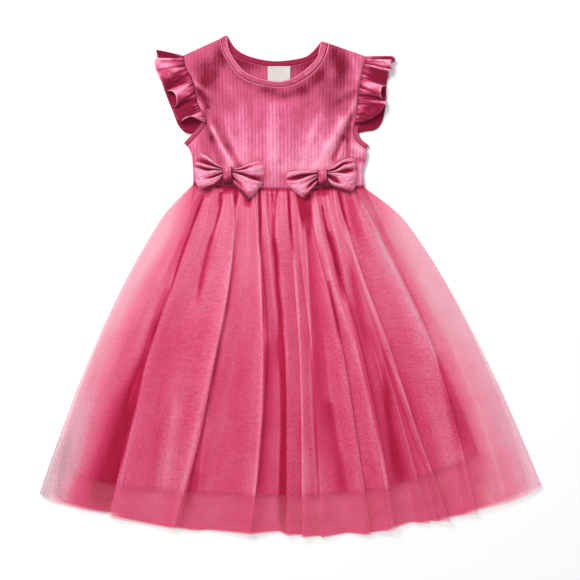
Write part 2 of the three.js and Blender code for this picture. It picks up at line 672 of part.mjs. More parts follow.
function roundedRectangle(target, halfWidth, foot, head, corner) {
  target.moveTo(-halfWidth + corner, foot);
  target.lineTo(halfWidth - corner, foot);
  target.quadraticCurveTo(halfWidth, foot, halfWidth, foot + corner);
  target.lineTo(halfWidth, head - corner);
  target.quadraticCurveTo(halfWidth, head, halfWidth - corner, head);
  target.lineTo(-halfWidth + corner, head);
  target.quadraticCurveTo(-halfWidth, head, -halfWidth, head - corner);
  target.lineTo(-halfWidth, foot + corner);
  target.quadraticCurveTo(-halfWidth, foot, -halfWidth + corner, foot);
  return target;
}

function bowKnot() {
  const { wall, halfWidth, foot, head, corner } = KNOT;
  const band = roundedRectangle(
    new THREE.Shape(), halfWidth + wall, foot - wall, head + wall, corner + 2 * wall,
  );
  band.holes.push(roundedRectangle(new THREE.Path(), halfWidth, foot, head, corner));
  const geometry = new THREE.ExtrudeGeometry(band, {
    depth: KNOT.length, bevelEnabled: false, curveSegments: 5,
  });
  const alongBow = new THREE.Matrix4().makeBasis(point(0, 1, 0), point(0, 0, 1), point(1, 0, 0));
  return geometry.translate(0, 0, -KNOT.length / 2).applyMatrix4(alongBow);
}

// The dress

const dress = new THREE.Group();
addMesh(dress, "skirt_tulle_back", tulleBack(), "tulle");
addMesh(dress, "skirt_lining_back", liningBack(), "lining");
addMesh(dress, "skirt_lining_front", liningFront(), "lining");
addMesh(dress, "skirt_tulle_front", tulleFront(), "tulle");
addMesh(dress, "bodice_back", bodiceBack(), "rib_knit");
addMesh(dress, "bodice_front", bodiceFront(), "rib_knit");
addMesh(
  dress,
  "neck_binding_front",
  neckBinding(NECK_FRONT, 26, (share) => neckHeight(share) - KNIT_WALL, KNIT_WALL + BINDING_RISE),
  "rib_binding",
);
addMesh(dress, "neck_binding_back", neckBinding(NECK_BACK, 13, () => 0, KNIT_WALL), "rib_binding");
addMesh(dress, "neck_label", neckLabel(), "label");
for (const side of ["left", "right"]) {
  const frontFoot = BODICE_EDGE - KNIT_WALL;
  addMesh(dress, `arm_binding_front_${side}`, armBinding(side, frontFoot, KNIT_WALL), "rib_binding");
  addMesh(dress, `arm_binding_back_${side}`, armBinding(side, 0, KNIT_WALL), "rib_binding");
  addMesh(dress, `sleeve_ruffle_${side}`, sleeveRuffle(side), "ruffle_cloth");
}
for (const bow of BOWS) {
  const knotted = new THREE.Group();
  knotted.position.set(bow.x, bow.y, 0);
  knotted.rotation.z = bow.turn;
  addMesh(knotted, bow.name + "_body", bowBody(bow), "bow_cloth");
  addMesh(knotted, bow.name + "_knot", bowKnot(), "bow_cloth");
  dress.add(knotted);
}

export default dress;
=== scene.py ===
"""A toddler's party dress laid flat: the fine cloth over the plain solids, in metres."""
import math

import bpy
import numpy as np
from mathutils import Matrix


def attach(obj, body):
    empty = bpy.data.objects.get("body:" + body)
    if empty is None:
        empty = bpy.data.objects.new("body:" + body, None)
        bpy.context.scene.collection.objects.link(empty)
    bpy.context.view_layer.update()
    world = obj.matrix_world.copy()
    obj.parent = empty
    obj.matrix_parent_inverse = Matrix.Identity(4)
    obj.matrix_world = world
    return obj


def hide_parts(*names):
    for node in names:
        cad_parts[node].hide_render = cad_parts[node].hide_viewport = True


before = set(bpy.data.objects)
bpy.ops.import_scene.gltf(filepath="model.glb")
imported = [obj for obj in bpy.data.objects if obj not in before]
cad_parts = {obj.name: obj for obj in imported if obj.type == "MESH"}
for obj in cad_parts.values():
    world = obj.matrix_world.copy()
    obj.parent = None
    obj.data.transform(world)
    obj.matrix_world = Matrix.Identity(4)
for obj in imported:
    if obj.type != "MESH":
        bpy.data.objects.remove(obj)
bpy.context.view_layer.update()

MM = 0.001

# Tables, in millimetres, as the solids have them

WAIST_SEAM = [(-122, 126.6), (-70, 122.6), (-16, 120.4), (40, 121), (92, 123.2)]
SIDE_SEAM = {
    "left": [(-122, 126.6), (-121.5, 138), (-123.5, 162), (-129, 175)],
    "right": [(92, 123.2), (90, 142.5), (95, 160), (94.5, 171)],
}
ARMHOLE = {
    "left": [(-129, 175), (-106, 204), (-115.8, 227.3), (-122.6, 257.3), (-131.4, 273.5), (-134.5, 288)],
    "right": [(94.5, 171), (83, 181), (78.6, 193.5), (81.8, 208.5), (83.8, 224.8), (84.9, 242.3), (88, 260.5),
              (95, 286.8)],
}
# Each row: the binding's finished edge (x, y), then the seam (x, y).
NECK_FRONT = [
    (-79.5, 313.8, -88.5, 309), (-77, 296.4, -85.4, 292.8), (-68.6, 281, -78.3, 279.8),
    (-56.6, 267.6, -67.4, 265.3), (-38.8, 259.3, -50.8, 254.5), (-20.8, 255.8, -20.8, 248),
    (-6, 256.5, -6, 248.6), (10.1, 264.1, 10.1, 253.9), (24.5, 276, 28, 265.3), (32.9, 285.6, 40, 279.8),
    (36.5, 300, 46, 292.8), (38, 306, 48.4, 303),
]
NECK_BACK = [
    (-79.5, 313.8, -88.5, 309), (-68.6, 297.5, -76, 291.5), (-50.8, 287.4, -55, 280),
    (-19.5, 281.6, -19.5, 274.1), (13.8, 285.6, 18, 278.5), (26.8, 292.8, 33, 286.5), (38, 306, 48.4, 303),
]
# Each row: a fold line's x at the waist, above, in the middle and at the hem, and the hem's y. Then, for
# the fold that starts there, its height, its lean (1 for a crest at its right, -1 at its left), how far the
# crest hangs over and how dark its shade is.
FOLD_COLUMNS = ("waist", "upper", "middle", "hem", "end", "rise", "lean", "over", "dark")
FOLD_ROWS = [
    (-122, -164.5, -238, -314, -259, 3, 1, 0, 0.2),
    (-117, -157, -222, -285.8, -272.4, 6, 1, 3, 0.6),
    (-109.5, -125, -178.3, -225.8, -284.6, 7, -1, 3, 0.7),
    (-93.3, -95.8, -143.3, -173.3, -299.5, 10, 1, 8, 0.9),
    (-72, -69.5, -93.3, -147, -300.8, 4, 1, 3, 0.3),
    (-59.5, -55.8, -68.3, -107, -305, 9, 1, 7, 0.8),
    (-44.5, -41.4, -35, -50.8, -307.6, 6, -1, 4, 1.0),
    (-30.8, -28.3, -17, -14.5, -307, 1, 1, 0, 0.5),
    (-24.5, -21.4, -5.8, -4.5, -308.3, 8, -1, 5, 1.1),
    (-2, 1.1, 13, 15.5, -310.8, 8, -1, 4, 0.8),
    (6.8, 9.3, 27.4, 39.3, -312, 6, -1, 3, 0.7),
    (15.5, 19.3, 43, 73, -308.3, 7, 1, 3, 0.8),
    (23, 28, 64.3, 100.5, -308.3, 10, 1, 8, 1.2),
    (31.8, 41.8, 83, 129.3, -300.8, 5, -1, 2, 0.7),
    (46.8, 56.8, 102, 153, -295, 7, 1, 3, 0.9),
    (51.8, 63, 111, 174.3, -294, 9, 1, 7, 1.2),
    (58, 69.9, 120.5, 195.5, -290.8, 9, 1, 6, 0.9),
    (80.5, 106.8, 174.3, 230, -280, 7, -1, 4, 0.7),
    (88, 121.8, 214, 268.8, -272, 5, 1, 0, 0.3),
    (92, 145.5, 226.8, 314, -250, 0, 1, 0, 0),
]
LINE_STOPS = (0, 0.12, 0.48, 1)
WAIST_LEFT, WAIST_RIGHT = -122, 92
LINING_SIDES = [(0, -122, 92), (48, -131, 118), (88, -153, 137), (143, -188, 162), (204, -223, 188),
                (268, -255, 214), (330, -278, 234)]
LINING_HEM = [(-280, -232), (-200, -251), (-125, -257), (-20, -260), (80, -257), (160, -238), (236, -208)]
LINING_LENGTH = LINING_SIDES[-1][0]

# Heights, in millimetres
KNIT, LINING, GAP = 1.5, 1.0, 0.3
THIN_WALL = np.array([0, 0, 0.7])
LINING_BACK_FOOT = 2.0
LINING_FRONT_TOP = 4.3
TULLE_LOW, TULLE_AT_WAIST, TULLE_HIGH = 3.35, 5.95, 7.35
BODICE_EDGE, BODICE_AT_WAIST, BODICE_CROWN, NECK_CROWN = 3.3, 6.1, 3.4, 2.0
SHOULDER_SHARE = 4 / 21
SIDE_DECAY = 6
RIB_PITCH = 4.3
RIB_HEIGHT = 0.30
# The skirt's width at each of the line stops, and how much cloth it has along the hem and from waist to hem.
SKIRT_WIDTHS = (214, 310, 465, 628)
HEM_CUT, SKIRT_CUT = 690, 430

# The photograph's scale, for the parts that were measured on it

PIXEL = 1.25
MIDDLE_X, MIDDLE_Y = 290.6, 285.8


def from_pixels(x, y):
    return (np.asarray(x, float) - MIDDLE_X) * PIXEL, (MIDDLE_Y - np.asarray(y, float)) * PIXEL


# The knit's folds and its painted shade: from x, y to x, y in the photograph's pixels, how much shade is
# painted there (negative for a painted highlight), half its width in pixels, and how far it sinks in mm
# (negative for a ridge).
BODICE_FOLDS = [
    (230, 48, 214, 66, 0.4, 14, 0.4), (220, 56, 207, 84, 0.42, 14, 0.6), (197, 60, 201, 82, 0.3, 7, 0.2),
    (206, 98, 214, 140, 0.3, 13, 0), (346, 84, 342, 150, 0.06, 10, 0), (200, 92, 208, 106, 0.45, 2.6, 0.8),
    (222, 183, 236, 184, 1.1, 3.4, 0), (317, 185, 331, 187, 1.1, 3.6, 0), (213, 82, 228, 101, 0.34, 9, 0.3),
    (190, 62, 197, 74, 0.1, 6, 0), (191, 80, 207, 92, -0.55, 2.6, -1), (195, 88, 209, 101, 0.45, 2.8, 1.2),
    (198, 96, 207, 106, 0.3, 2.4, 0.6), (197, 102, 214, 132, -0.65, 3.3, -1.8),
    (214, 132, 231, 164, -0.65, 3.5, -1.8), (205, 118, 212, 138, 0.46, 3.8, 1.5),
    (212, 138, 220, 162, 0.46, 4.2, 1.5), (216, 124, 228, 147, 0.42, 3.4, 1.4),
    (228, 147, 240, 167, 0.54, 3.4, 1.6), (196, 146, 200, 158, -0.05, 6, -0.5),
    (190, 160, 196, 176, 0.15, 5, 0), (272, 108, 273, 178, -0.3, 7, -0.5),
    (262, 112, 264, 178, 0.14, 3.5, 0.5), (281, 110, 281, 176, 0.14, 3.5, 0.5),
    (240, 106, 248, 174, -0.12, 7, -0.3), (252, 112, 256, 176, 0.12, 4, 0.4),
    (262, 92, 284, 96, 0.28, 5, 0.2), (230, 60, 245, 80, 0.3, 7, 0), (245, 80, 268, 89, 0.42, 8, 0),
    (268, 89, 300, 88, 0.32, 7, 0), (300, 88, 318, 76, 0.46, 8, 0), (318, 76, 328, 58, 0.66, 8, 0),
    (318, 92, 297, 114, 0.18, 7, 0), (236, 84, 246, 100, 0.18, 7, 0), (345, 56, 352, 68, 0.3, 5, 0),
    (198, 126, 204, 150, 0.26, 5, 0), (285, 168, 330, 168, -0.34, 7, 0), (224, 168, 240, 171, -0.3, 4, 0),
    (226, 44, 236, 66, 0.24, 6, 0), (250, 98, 310, 98, 0.14, 10, 0), (326, 92, 342, 108, 0.2, 8, 0),
    (284, 96, 304, 92, 0.24, 5, 0.2), (304, 92, 320, 80, 0.24, 6, 0.2), (334, 50, 341, 66, 0.62, 8.5, 0.5),
    (341, 66, 340, 80, 0.5, 9, 0.5), (336, 82, 328, 104, 0.28, 9, 0.3),
    (351, 56, 357, 78, -0.35, 4.5, -0.5), (341, 101, 355, 93, 0.5, 3.8, 1.2),
    (356, 104, 342, 124, -0.5, 5.6, -2), (342, 124, 329, 147, -0.5, 5.8, -2),
    (329, 147, 316, 168, -0.42, 6, -1.6), (352, 118, 344, 138, 0.7, 3, 1.8),
    (344, 138, 334, 158, 0.75, 3, 1.8), (346, 134, 339, 158, -0.4, 2, -0.8),
    (350, 128, 348, 141, 0.5, 2.2, 1.2), (348, 141, 349, 156, 0.55, 2.4, 1.6),
    (356, 147, 361, 151, -0.45, 4.5, -1.6), (353, 160, 365, 161, 0.45, 2.6, 1.4),
    (361, 168, 359, 181, -0.5, 4.5, -0.6), (320, 118, 312, 134, -0.25, 5, -0.6),
    (312, 134, 302, 168, -0.25, 5, -0.6), (296, 110, 294, 176, 0.1, 4, 0.4),
    (306, 108, 300, 132, 0.12, 4, 0.4), (222, 152, 345, 152, -0.24, 20, 0),
    (326, 82, 330, 108, 0.16, 12, 0), (203, 112, 210, 150, 0.22, 6, 0.3),
    (350, 108, 338, 150, 0.16, 7, 0.2), (216, 108, 232, 150, 0.14, 5, 0.3),
    (224, 118, 240, 160, -0.22, 3.5, -0.5), (332, 110, 318, 140, 0.14, 4, 0.4),
    (326, 122, 312, 160, -0.2, 3.5, -0.5), (239, 170, 249, 178, 0.2, 4, 0.4),
    (206, 108, 204, 116, 0.4, 2.2, 0.8),
]
# The net's main creases, each nearly upright: the y of its top and bottom and its x at the top, in the
# middle and at the bottom, how wide it is on its left and on its right, all in the photograph's pixels,
# then how much shade is painted in it (negative for a painted highlight on a light edge) and how far it
# sinks (negative for a ridge), in mm. A tenth value widens the crease towards its bottom and lets it
# start slowly.
SKIRT_CREASES = [
    (190, 300, 206, 185.5, 168, 1.5, 1.3, 1.25, 1.4), (285, 420, 171.5, 148, 127, 5, 1.4, 1.25, 1.7),
    (345, 512, 149, 128.5, 107, 8, 1, 1.8, 1.6, 3), (420, 530, 131, 119, 108, 1, 1.2, -0.7, -0.4),
    (420, 520, 133.5, 124, 113, 1, 1.2, -0.6, -0.4), (234, 306, 212.5, 203, 197, 1.6, 3.2, 0.85, 1.2),
    (212, 350, 235.8, 228.8, 216.8, 1.8, 0.8, -0.7, -0.5),
    (340, 532, 217.5, 196, 172.9, 2.2, 0.8, -0.8, -0.6), (216, 350, 238, 231.2, 219.2, 0.8, 3.5, 0.2, 0.5),
    (340, 500, 220, 203.5, 183, 0.8, 7, 0.2, 0.5), (470, 508, 196, 192, 187, 5, 5.5, 0.45, 0.3),
    (380, 500, 213, 203.5, 198, 1, 1.6, -0.45, -0.3), (350, 500, 180, 170, 160, 8, 8, -0.25, 0),
    (390, 500, 178, 171, 163, 8, 9, -0.22, -0.2), (440, 535, 171, 163, 158, 9, 8, -0.2, -0.2),
    (196, 350, 255.6, 260.4, 262, 2, 0.8, -0.75, -0.6), (340, 534, 262, 259.5, 249.5, 2, 0.8, -0.75, -0.6),
    (236, 350, 260, 263.2, 264.6, 0.8, 3.4, 0.85, 1.2), (340, 505, 264.8, 262.6, 255.8, 0.8, 7, 0.7, 1),
    (200, 350, 263, 272.4, 277.8, 1.8, 0.8, -0.6, -0.5), (235, 350, 273, 278.6, 281, 1.6, 2.4, 1.5, 2.2),
    (335, 532, 281, 283.8, 281, 3.2, 3.2, 2.3, 2.6), (345, 500, 278.4, 279.6, 277.6, 1.4, 0.8, -0.7, -0.5),
    (340, 535, 286, 287.2, 285, 0.8, 1.6, -0.6, -0.5),
    (248, 350, 294.8, 297.6, 299.8, 1.4, 0.9, -0.65, -0.5),
    (340, 510, 299.8, 303, 302, 1.4, 0.9, -0.55, -0.4), (258, 480, 298.5, 302.6, 305.2, 0.8, 4, 0.2, 0.4),
    (225, 350, 304.8, 308.4, 311, 1.6, 0.8, -0.7, -0.5), (340, 535, 311.4, 313, 321, 1.6, 0.8, -0.65, -0.5),
    (235, 480, 307.6, 313.5, 318, 0.8, 13, 0.38, 0.5), (300, 505, 297, 302, 304, 8, 8, -0.32, 0),
    (310, 460, 226, 215, 201, 3, 5, -0.35, 0), (340, 490, 352, 358, 366, 5, 5, -0.32, 0),
    (400, 505, 180, 166, 155, 6, 6, -0.3, 0), (320, 500, 370, 385, 397, 4, 4, 0.32, 0),
    (380, 500, 405, 420, 437, 3, 3, 0.35, 0), (240, 380, 276, 278, 281, 4, 4, 0.25, 0),
    (400, 500, 330, 337, 345, 6, 4, 0.6, 0.5), (330, 470, 325, 331.5, 345, 1.2, 3, -0.5, -0.5),
    (196, 350, 315, 331, 355.8, 4, 1, -0.75, -0.9), (340, 530, 353, 376.2, 393.5, 2.4, 0.8, -0.85, -0.6),
    (232, 304, 328.4, 337, 345.6, 2.4, 3.4, 1.35, 2), (280, 345, 329.4, 334.5, 341.6, 1.6, 1.8, 1, 1.2),
    (190, 300, 326, 338.6, 349.4, 1.2, 1.2, -0.6, -0.6), (300, 470, 347, 366, 382, 1.2, 9, 0.4, 0.9),
    (358, 490, 382.5, 391, 403, 1.6, 2.4, 1.3, 2, 4), (345, 522, 373.2, 396, 414.4, 1.2, 1, -0.75, -0.5),
    (345, 470, 381, 401.5, 425.4, 1.4, 3, 0.5, 0.8), (360, 510, 415, 440, 460, 8, 8, -0.36, 0),
    (390, 510, 425, 447, 466, 6, 6, -0.2, 0), (355, 520, 388.6, 420, 447.4, 1.4, 0.9, -0.8, -0.6),
    (222, 352, 345.5, 364.8, 391, 3, 1.4, -0.6, -0.8), (246, 352, 347, 357, 368, 3, 5, 0.6, 0.8, 1),
    (196, 350, 360.8, 396, 432.2, 2, 0.9, -0.75, -0.6),
    (340, 512, 429.8, 455.5, 474.8, 2, 0.9, -0.75, -0.6),
    (348, 461, 434, 449, 465, 0.9, 4.5, 0.8, 1.2, 3.6), (215, 345, 374, 404, 434, 0.9, 8, 0.45, 0.6),
    (196, 345, 364, 411, 452, 3, 5, -0.35, -0.4), (340, 508, 450, 484, 507, 1.8, 1, -0.6, -0.5),
    (420, 500, 412, 425, 436, 3, 6, -0.35, -0.3), (320, 500, 130, 108, 86, 9, 12, 0.08, 0),
    (200, 330, 182, 158, 133, 7, 7, 0.1, 0), (190, 260, 184, 165, 148, 4, 6, -0.4, -0.3),
    (196, 290, 196, 180, 164, 5, 5, 0.45, 0.5),
]

# The gathers at the waist, in the same columns and then how wide each is at its bottom, as a share of its
# top.
WAIST_GATHERS = [
    (192, 244, 203.5, 196, 186, 3.6, 1, 0.45, 0.5, 0.8),
    (187, 198, 225, 219.5, 213.6, 1.1, 1.1, -0.6, -0.5, 1),
    (192, 207, 221, 220, 218.4, 2.4, 2.2, 1.2, 1.2, 0.3),
    (198, 252, 222.4, 215.8, 205.6, 1.3, 0.9, 1.2, 1.4, 1),
    (196, 262, 225.2, 218.4, 206.6, 0.9, 1.3, -0.6, -0.5, 1),
    (190, 300, 229, 223, 206, 4.6, 5.4, -0.32, -0.7, 1.5),
    (183, 213, 236.6, 235.8, 235.6, 3.4, 3.2, 1.6, 1.8, 0.15),
    (195, 213, 232.4, 234, 234.8, 1.2, 0.7, -0.5, -0.4, 1),
    (196, 214, 240.4, 238, 237.2, 0.8, 1.2, -0.5, -0.4, 1),
    (202, 330, 246, 246.4, 243, 8, 7.6, -0.3, -0.7, 1.3), (195, 209, 248, 248, 248, 4.6, 4.4, 1.2, 1, 0.6),
    (188, 262, 259.4, 260.2, 260.4, 1.5, 1.4, 1.6, 2, 1),
    (192, 262, 262.6, 263.8, 266.4, 0.8, 1, -0.6, -0.5, 1),
    (194, 262, 264.8, 267.4, 274, 0.7, 0.9, -0.5, -0.4, 1),
    (191, 211, 267.6, 268, 268.6, 0.9, 0.8, 0.5, 0.5, 1),
    (190, 207, 272.8, 273, 273.6, 1, 0.9, 0.9, 0.8, 1),
    (188, 222, 278.2, 275.6, 275.2, 0.9, 0.9, 1, 0.9, 1),
    (214, 262, 275.2, 274.6, 274.2, 2.2, 0.9, 0.7, 0.8, 1.3),
    (195, 262, 277.6, 277.1, 278.4, 0.8, 1.2, -0.5, -0.4, 1),
    (189, 268, 283.6, 284, 286, 5.4, 5, -0.42, -0.9, 1.2),
    (190, 264, 288.5, 291, 295.2, 1.3, 1.2, 1.6, 1.8, 1.1),
    (194, 262, 294.6, 297.2, 301, 2.8, 2.6, -0.3, -0.6, 1.3),
    (213, 262, 299.6, 302, 305, 0.9, 0.7, -0.5, -0.4, 1),
    (191, 232, 301, 302.5, 303.5, 4.6, 3.4, 2.3, 1.9, 0.4),
    (193, 256, 307.2, 308.4, 309.4, 4.6, 4.6, 1.35, 1.4, 0.5),
    (196, 262, 312.8, 315.6, 322, 1.1, 0.8, -0.7, -0.5, 1),
    (197, 300, 318, 321, 334.5, 3.6, 3.6, -0.34, -0.8, 1.2),
    (205, 264, 321.8, 328, 340.5, 0.8, 1.3, 1.25, 1.4, 1.4),
    (198, 262, 327, 334, 346, 0.8, 0.8, -0.45, -0.4, 1),
    (191, 262, 334.2, 341.4, 359.4, 1, 0.8, -0.8, -0.7, 1),
    (189, 240, 338.2, 344, 353.6, 1, 3.4, 1.6, 1.8, 0.4),
    (194, 268, 347, 356, 371, 2.6, 6.5, 0.55, 0.9, 1.4), (193, 242, 352, 363, 379, 0.9, 0.9, -0.6, -0.5, 1),
    (192, 236, 357.2, 368, 381, 0.8, 0.8, -0.45, -0.4, 1), (189, 205, 355, 358, 361.4, 0.9, 0.8, 1, 0.9, 1),
    (190, 222, 196, 191, 181, 1.4, 2, -0.4, -0.3, 1.3), (186, 195, 229, 229, 229, 9, 5, 1.3, 0.3, 0.7),
    (186, 198, 324, 324, 324, 9, 7, 1.4, 0.3, 0.7), (189, 200, 211, 209, 206, 3, 3, 0.7, 0.6, 0.7),
    (190, 246, 209, 203, 194, 2, 3.6, -0.2, -0.4, 1.6),
]

# Curves and noise


def smooth_table(stops, values, at, soft_ends=False):
    """A smooth curve through a table's values."""
    t, y, at = np.asarray(stops, float), np.asarray(values, float), np.asarray(at, float)
    secant = (y[1:] - y[:-1]) / (t[1:] - t[:-1]).reshape((-1,) + (1,) * (y.ndim - 1))
    slope = np.empty_like(y)
    slope[1:-1] = (y[2:] - y[:-2]) / (t[2:] - t[:-2]).reshape((-1,) + (1,) * (y.ndim - 1))
    slope[0] = secant[0] / 2 if soft_ends else 1.5 * secant[0] - 0.5 * slope[1]
    slope[-1] = secant[-1] / 2 if soft_ends else 1.5 * secant[-1] - 0.5 * slope[-2]
    i = np.clip(np.searchsorted(t, at, side="right") - 1, 0, len(t) - 2)
    h = t[i + 1] - t[i]
    u = (at - t[i]) / h
    if y.ndim > 1:
        h, u = (k.reshape(k.shape + (1,) * (y.ndim - 1)) for k in (h, u))
    return ((2 * u**3 - 3 * u**2 + 1) * y[i] + (u**3 - 2 * u**2 + u) * h * slope[i]
            + (3 * u**2 - 2 * u**3) * y[i + 1] + (u**3 - u**2) * h * slope[i + 1])


class Path:
    """A smooth curve in plan, read by the share of its length."""

    def __init__(self, rows=None, points=None):
        if points is None:
            knots = np.linspace(0, 1, len(rows))
            points = smooth_table(knots, rows, np.linspace(0, 1, 40 * (len(rows) - 1) + 1), soft_ends=True)
        self.points = np.asarray(points, float)
        steps = np.linalg.norm(np.diff(self.points, axis=0), axis=1)
        self.length = steps.sum()
        self.shares = np.concatenate([[0], np.cumsum(steps)]) / self.length

    def __call__(self, share):
        share = np.clip(share, 0, 1)
        return np.stack([np.interp(share, self.shares, self.points[:, k]) for k in (0, 1)], -1)

    def tangent(self, share):
        d = self(np.clip(share + 0.004, 0, 1)) - self(np.clip(share - 0.004, 0, 1))
        return d / np.linalg.norm(d, axis=-1, keepdims=True)


def joined(*paths):
    return Path(points=np.concatenate([paths[0].points] + [p.points[1:] for p in paths[1:]]))


def smoothstep(x, low, high):
    t = np.clip((np.asarray(x, float) - low) / (high - low), 0, 1)
    return t * t * (3 - 2 * t)


def lerp(a, b, t):
    return a + (b - a) * t


def bell(x, centre, width):
    """1 at the centre, and falling off on both sides."""
    return np.exp(-(((x - centre) / width) ** 2))


def stacked(*parts):
    """Coordinates of any matching shapes, as points."""
    return np.stack(np.broadcast_arrays(*parts), -1)


def lifted(plan, z):
    """Points at places in plan, raised to a height."""
    return np.dstack([plan, np.broadcast_to(z, plan.shape[:2])])


def noise(seed, u, v):
    """Smooth noise from -1 to 1, with one cell for each unit of u and v."""
    u, v = np.broadcast_arrays(np.asarray(u, float), np.asarray(v, float))
    table = np.random.default_rng(seed).uniform(-1, 1, (64, 64))
    i, j = np.floor(u).astype(int), np.floor(v).astype(int)
    a, b = smoothstep(u - i, 0, 1), smoothstep(v - j, 0, 1)
    at = lambda di, dj: table[(i + di) % 64, (j + dj) % 64]
    return lerp(lerp(at(0, 0), at(1, 0), a), lerp(at(0, 1), at(1, 1), a), b)


# Meshes

def grid_faces(rows, cols, start=0, flip=False):
    n = np.arange(rows * cols).reshape(rows, cols) + start
    quads = np.stack([n[:-1, :-1], n[:-1, 1:], n[1:, 1:], n[1:, :-1]], -1).reshape(-1, 4)
    return quads[:, ::-1] if flip else quads


def add_mesh(name, points, faces, uv, material, attributes=None):
    """A smooth mesh from points in millimetres, with a UV point and attributes for each vertex."""
    mesh = bpy.data.meshes.new(name)
    mesh.from_pydata((points * MM).tolist(), [], faces.tolist())
    mesh.polygons.foreach_set("use_smooth", [True] * len(mesh.polygons))
    loops = np.empty(len(mesh.loops), dtype=np.int32)
    mesh.loops.foreach_get("vertex_index", loops)
    layer = mesh.uv_layers.new(name="cloth")
    layer.data.foreach_set("uv", (uv * MM)[loops].astype(np.float32).ravel())
    for key, values in (attributes or {}).items():
        attribute = mesh.attributes.new(key, "FLOAT", "POINT")
        attribute.data.foreach_set("value", np.asarray(values, np.float32).ravel())
    mesh.materials.append(material)
    mesh.validate()
    made = bpy.data.objects.new(name, mesh)
    bpy.context.scene.collection.objects.link(made)
    return made


def add_sheet(name, grid, uv, material, attributes):
    """An open sheet from a grid of points."""
    rows, cols = grid.shape[:2]
    flat = {k: np.broadcast_to(v, (rows, cols)).ravel() for k, v in attributes.items()}
    return add_mesh(name, grid.reshape(-1, 3), grid_faces(rows, cols), uv.reshape(-1, 2), material, flat)


def grid_normals(grid):
    across = np.gradient(grid, axis=1)
    along = np.gradient(grid, axis=0)
    n = np.cross(across, along)
    n /= np.maximum(np.linalg.norm(n, axis=-1, keepdims=True), 1e-9)
    return n * np.sign(np.median(n[..., 2])) if abs(np.median(n[..., 2])) > 0.1 else n


def add_shell(name, outer, inner, uv, material, attributes=None):
    """A closed wall between two grids of the same size."""
    rows, cols = outer.shape[:2]
    size = rows * cols
    flip = np.cross(outer[0, 1] - outer[0, 0], outer[1, 0] - outer[0, 0])[2] < 0
    top, under = grid_faces(rows, cols, 0, flip), grid_faces(rows, cols, size, not flip)
    n = np.arange(size).reshape(rows, cols)
    ring = np.concatenate([n[0, :-1], n[:-1, -1], n[-1, :0:-1], n[:0:-1, 0]])
    after = np.roll(ring, -1)
    rim = np.stack([after, ring, ring + size, after + size], -1)
    faces = np.concatenate([top, under, rim[:, ::-1] if flip else rim])
    flat = {k: np.tile(np.broadcast_to(v, (rows, cols)).ravel(), 2) for k, v in (attributes or {}).items()}
    points = np.concatenate([outer.reshape(-1, 3), inner.reshape(-1, 3)])
    return add_mesh(name, points, faces, np.tile(uv.reshape(-1, 2), (2, 1)), material, flat)


def join_meshes(name, parts, material):
    """One mesh from many (points, faces) pairs."""
    starts = np.cumsum([0] + [len(points) for points, _ in parts[:-1]])
    faces = np.concatenate([faces + start for (_, faces), start in zip(parts, starts)])
    points = np.concatenate([points for points, _ in parts])
    return add_mesh(name, points, faces, points[:, :2], material)


def stitch_parts(centres, directions, length, width, height):
    """Short threads lying along their directions: low, tapered, five-ringed."""
    along = np.linspace(-1, 1, 5)
    size = np.sqrt(np.clip(1 - along**2, 0.08, 1))
    angle = np.linspace(0, 2 * math.pi, 7)[:-1]
    faces = []
    for j in range(4):
        for k in range(6):
            faces.append((j * 6 + k, j * 6 + (k + 1) % 6, (j + 1) * 6 + (k + 1) % 6, (j + 1) * 6 + k))
    faces = np.array(faces)
    parts = []
    for centre, direction in zip(centres, directions):
        d = direction / np.linalg.norm(direction)
        side = np.array([-d[1], d[0], 0.0])
        side /= max(np.linalg.norm(side), 1e-9)
        up = np.cross(d, side)
        ring = (centre + along[:, None, None] * length / 2 * d
                + (size[:, None] * np.cos(angle))[..., None] * width / 2 * side
                + (size[:, None] * np.sin(angle))[..., None] * height / 2 * up)
        parts.append((ring.reshape(-1, 3), faces))
    return parts


# Materials

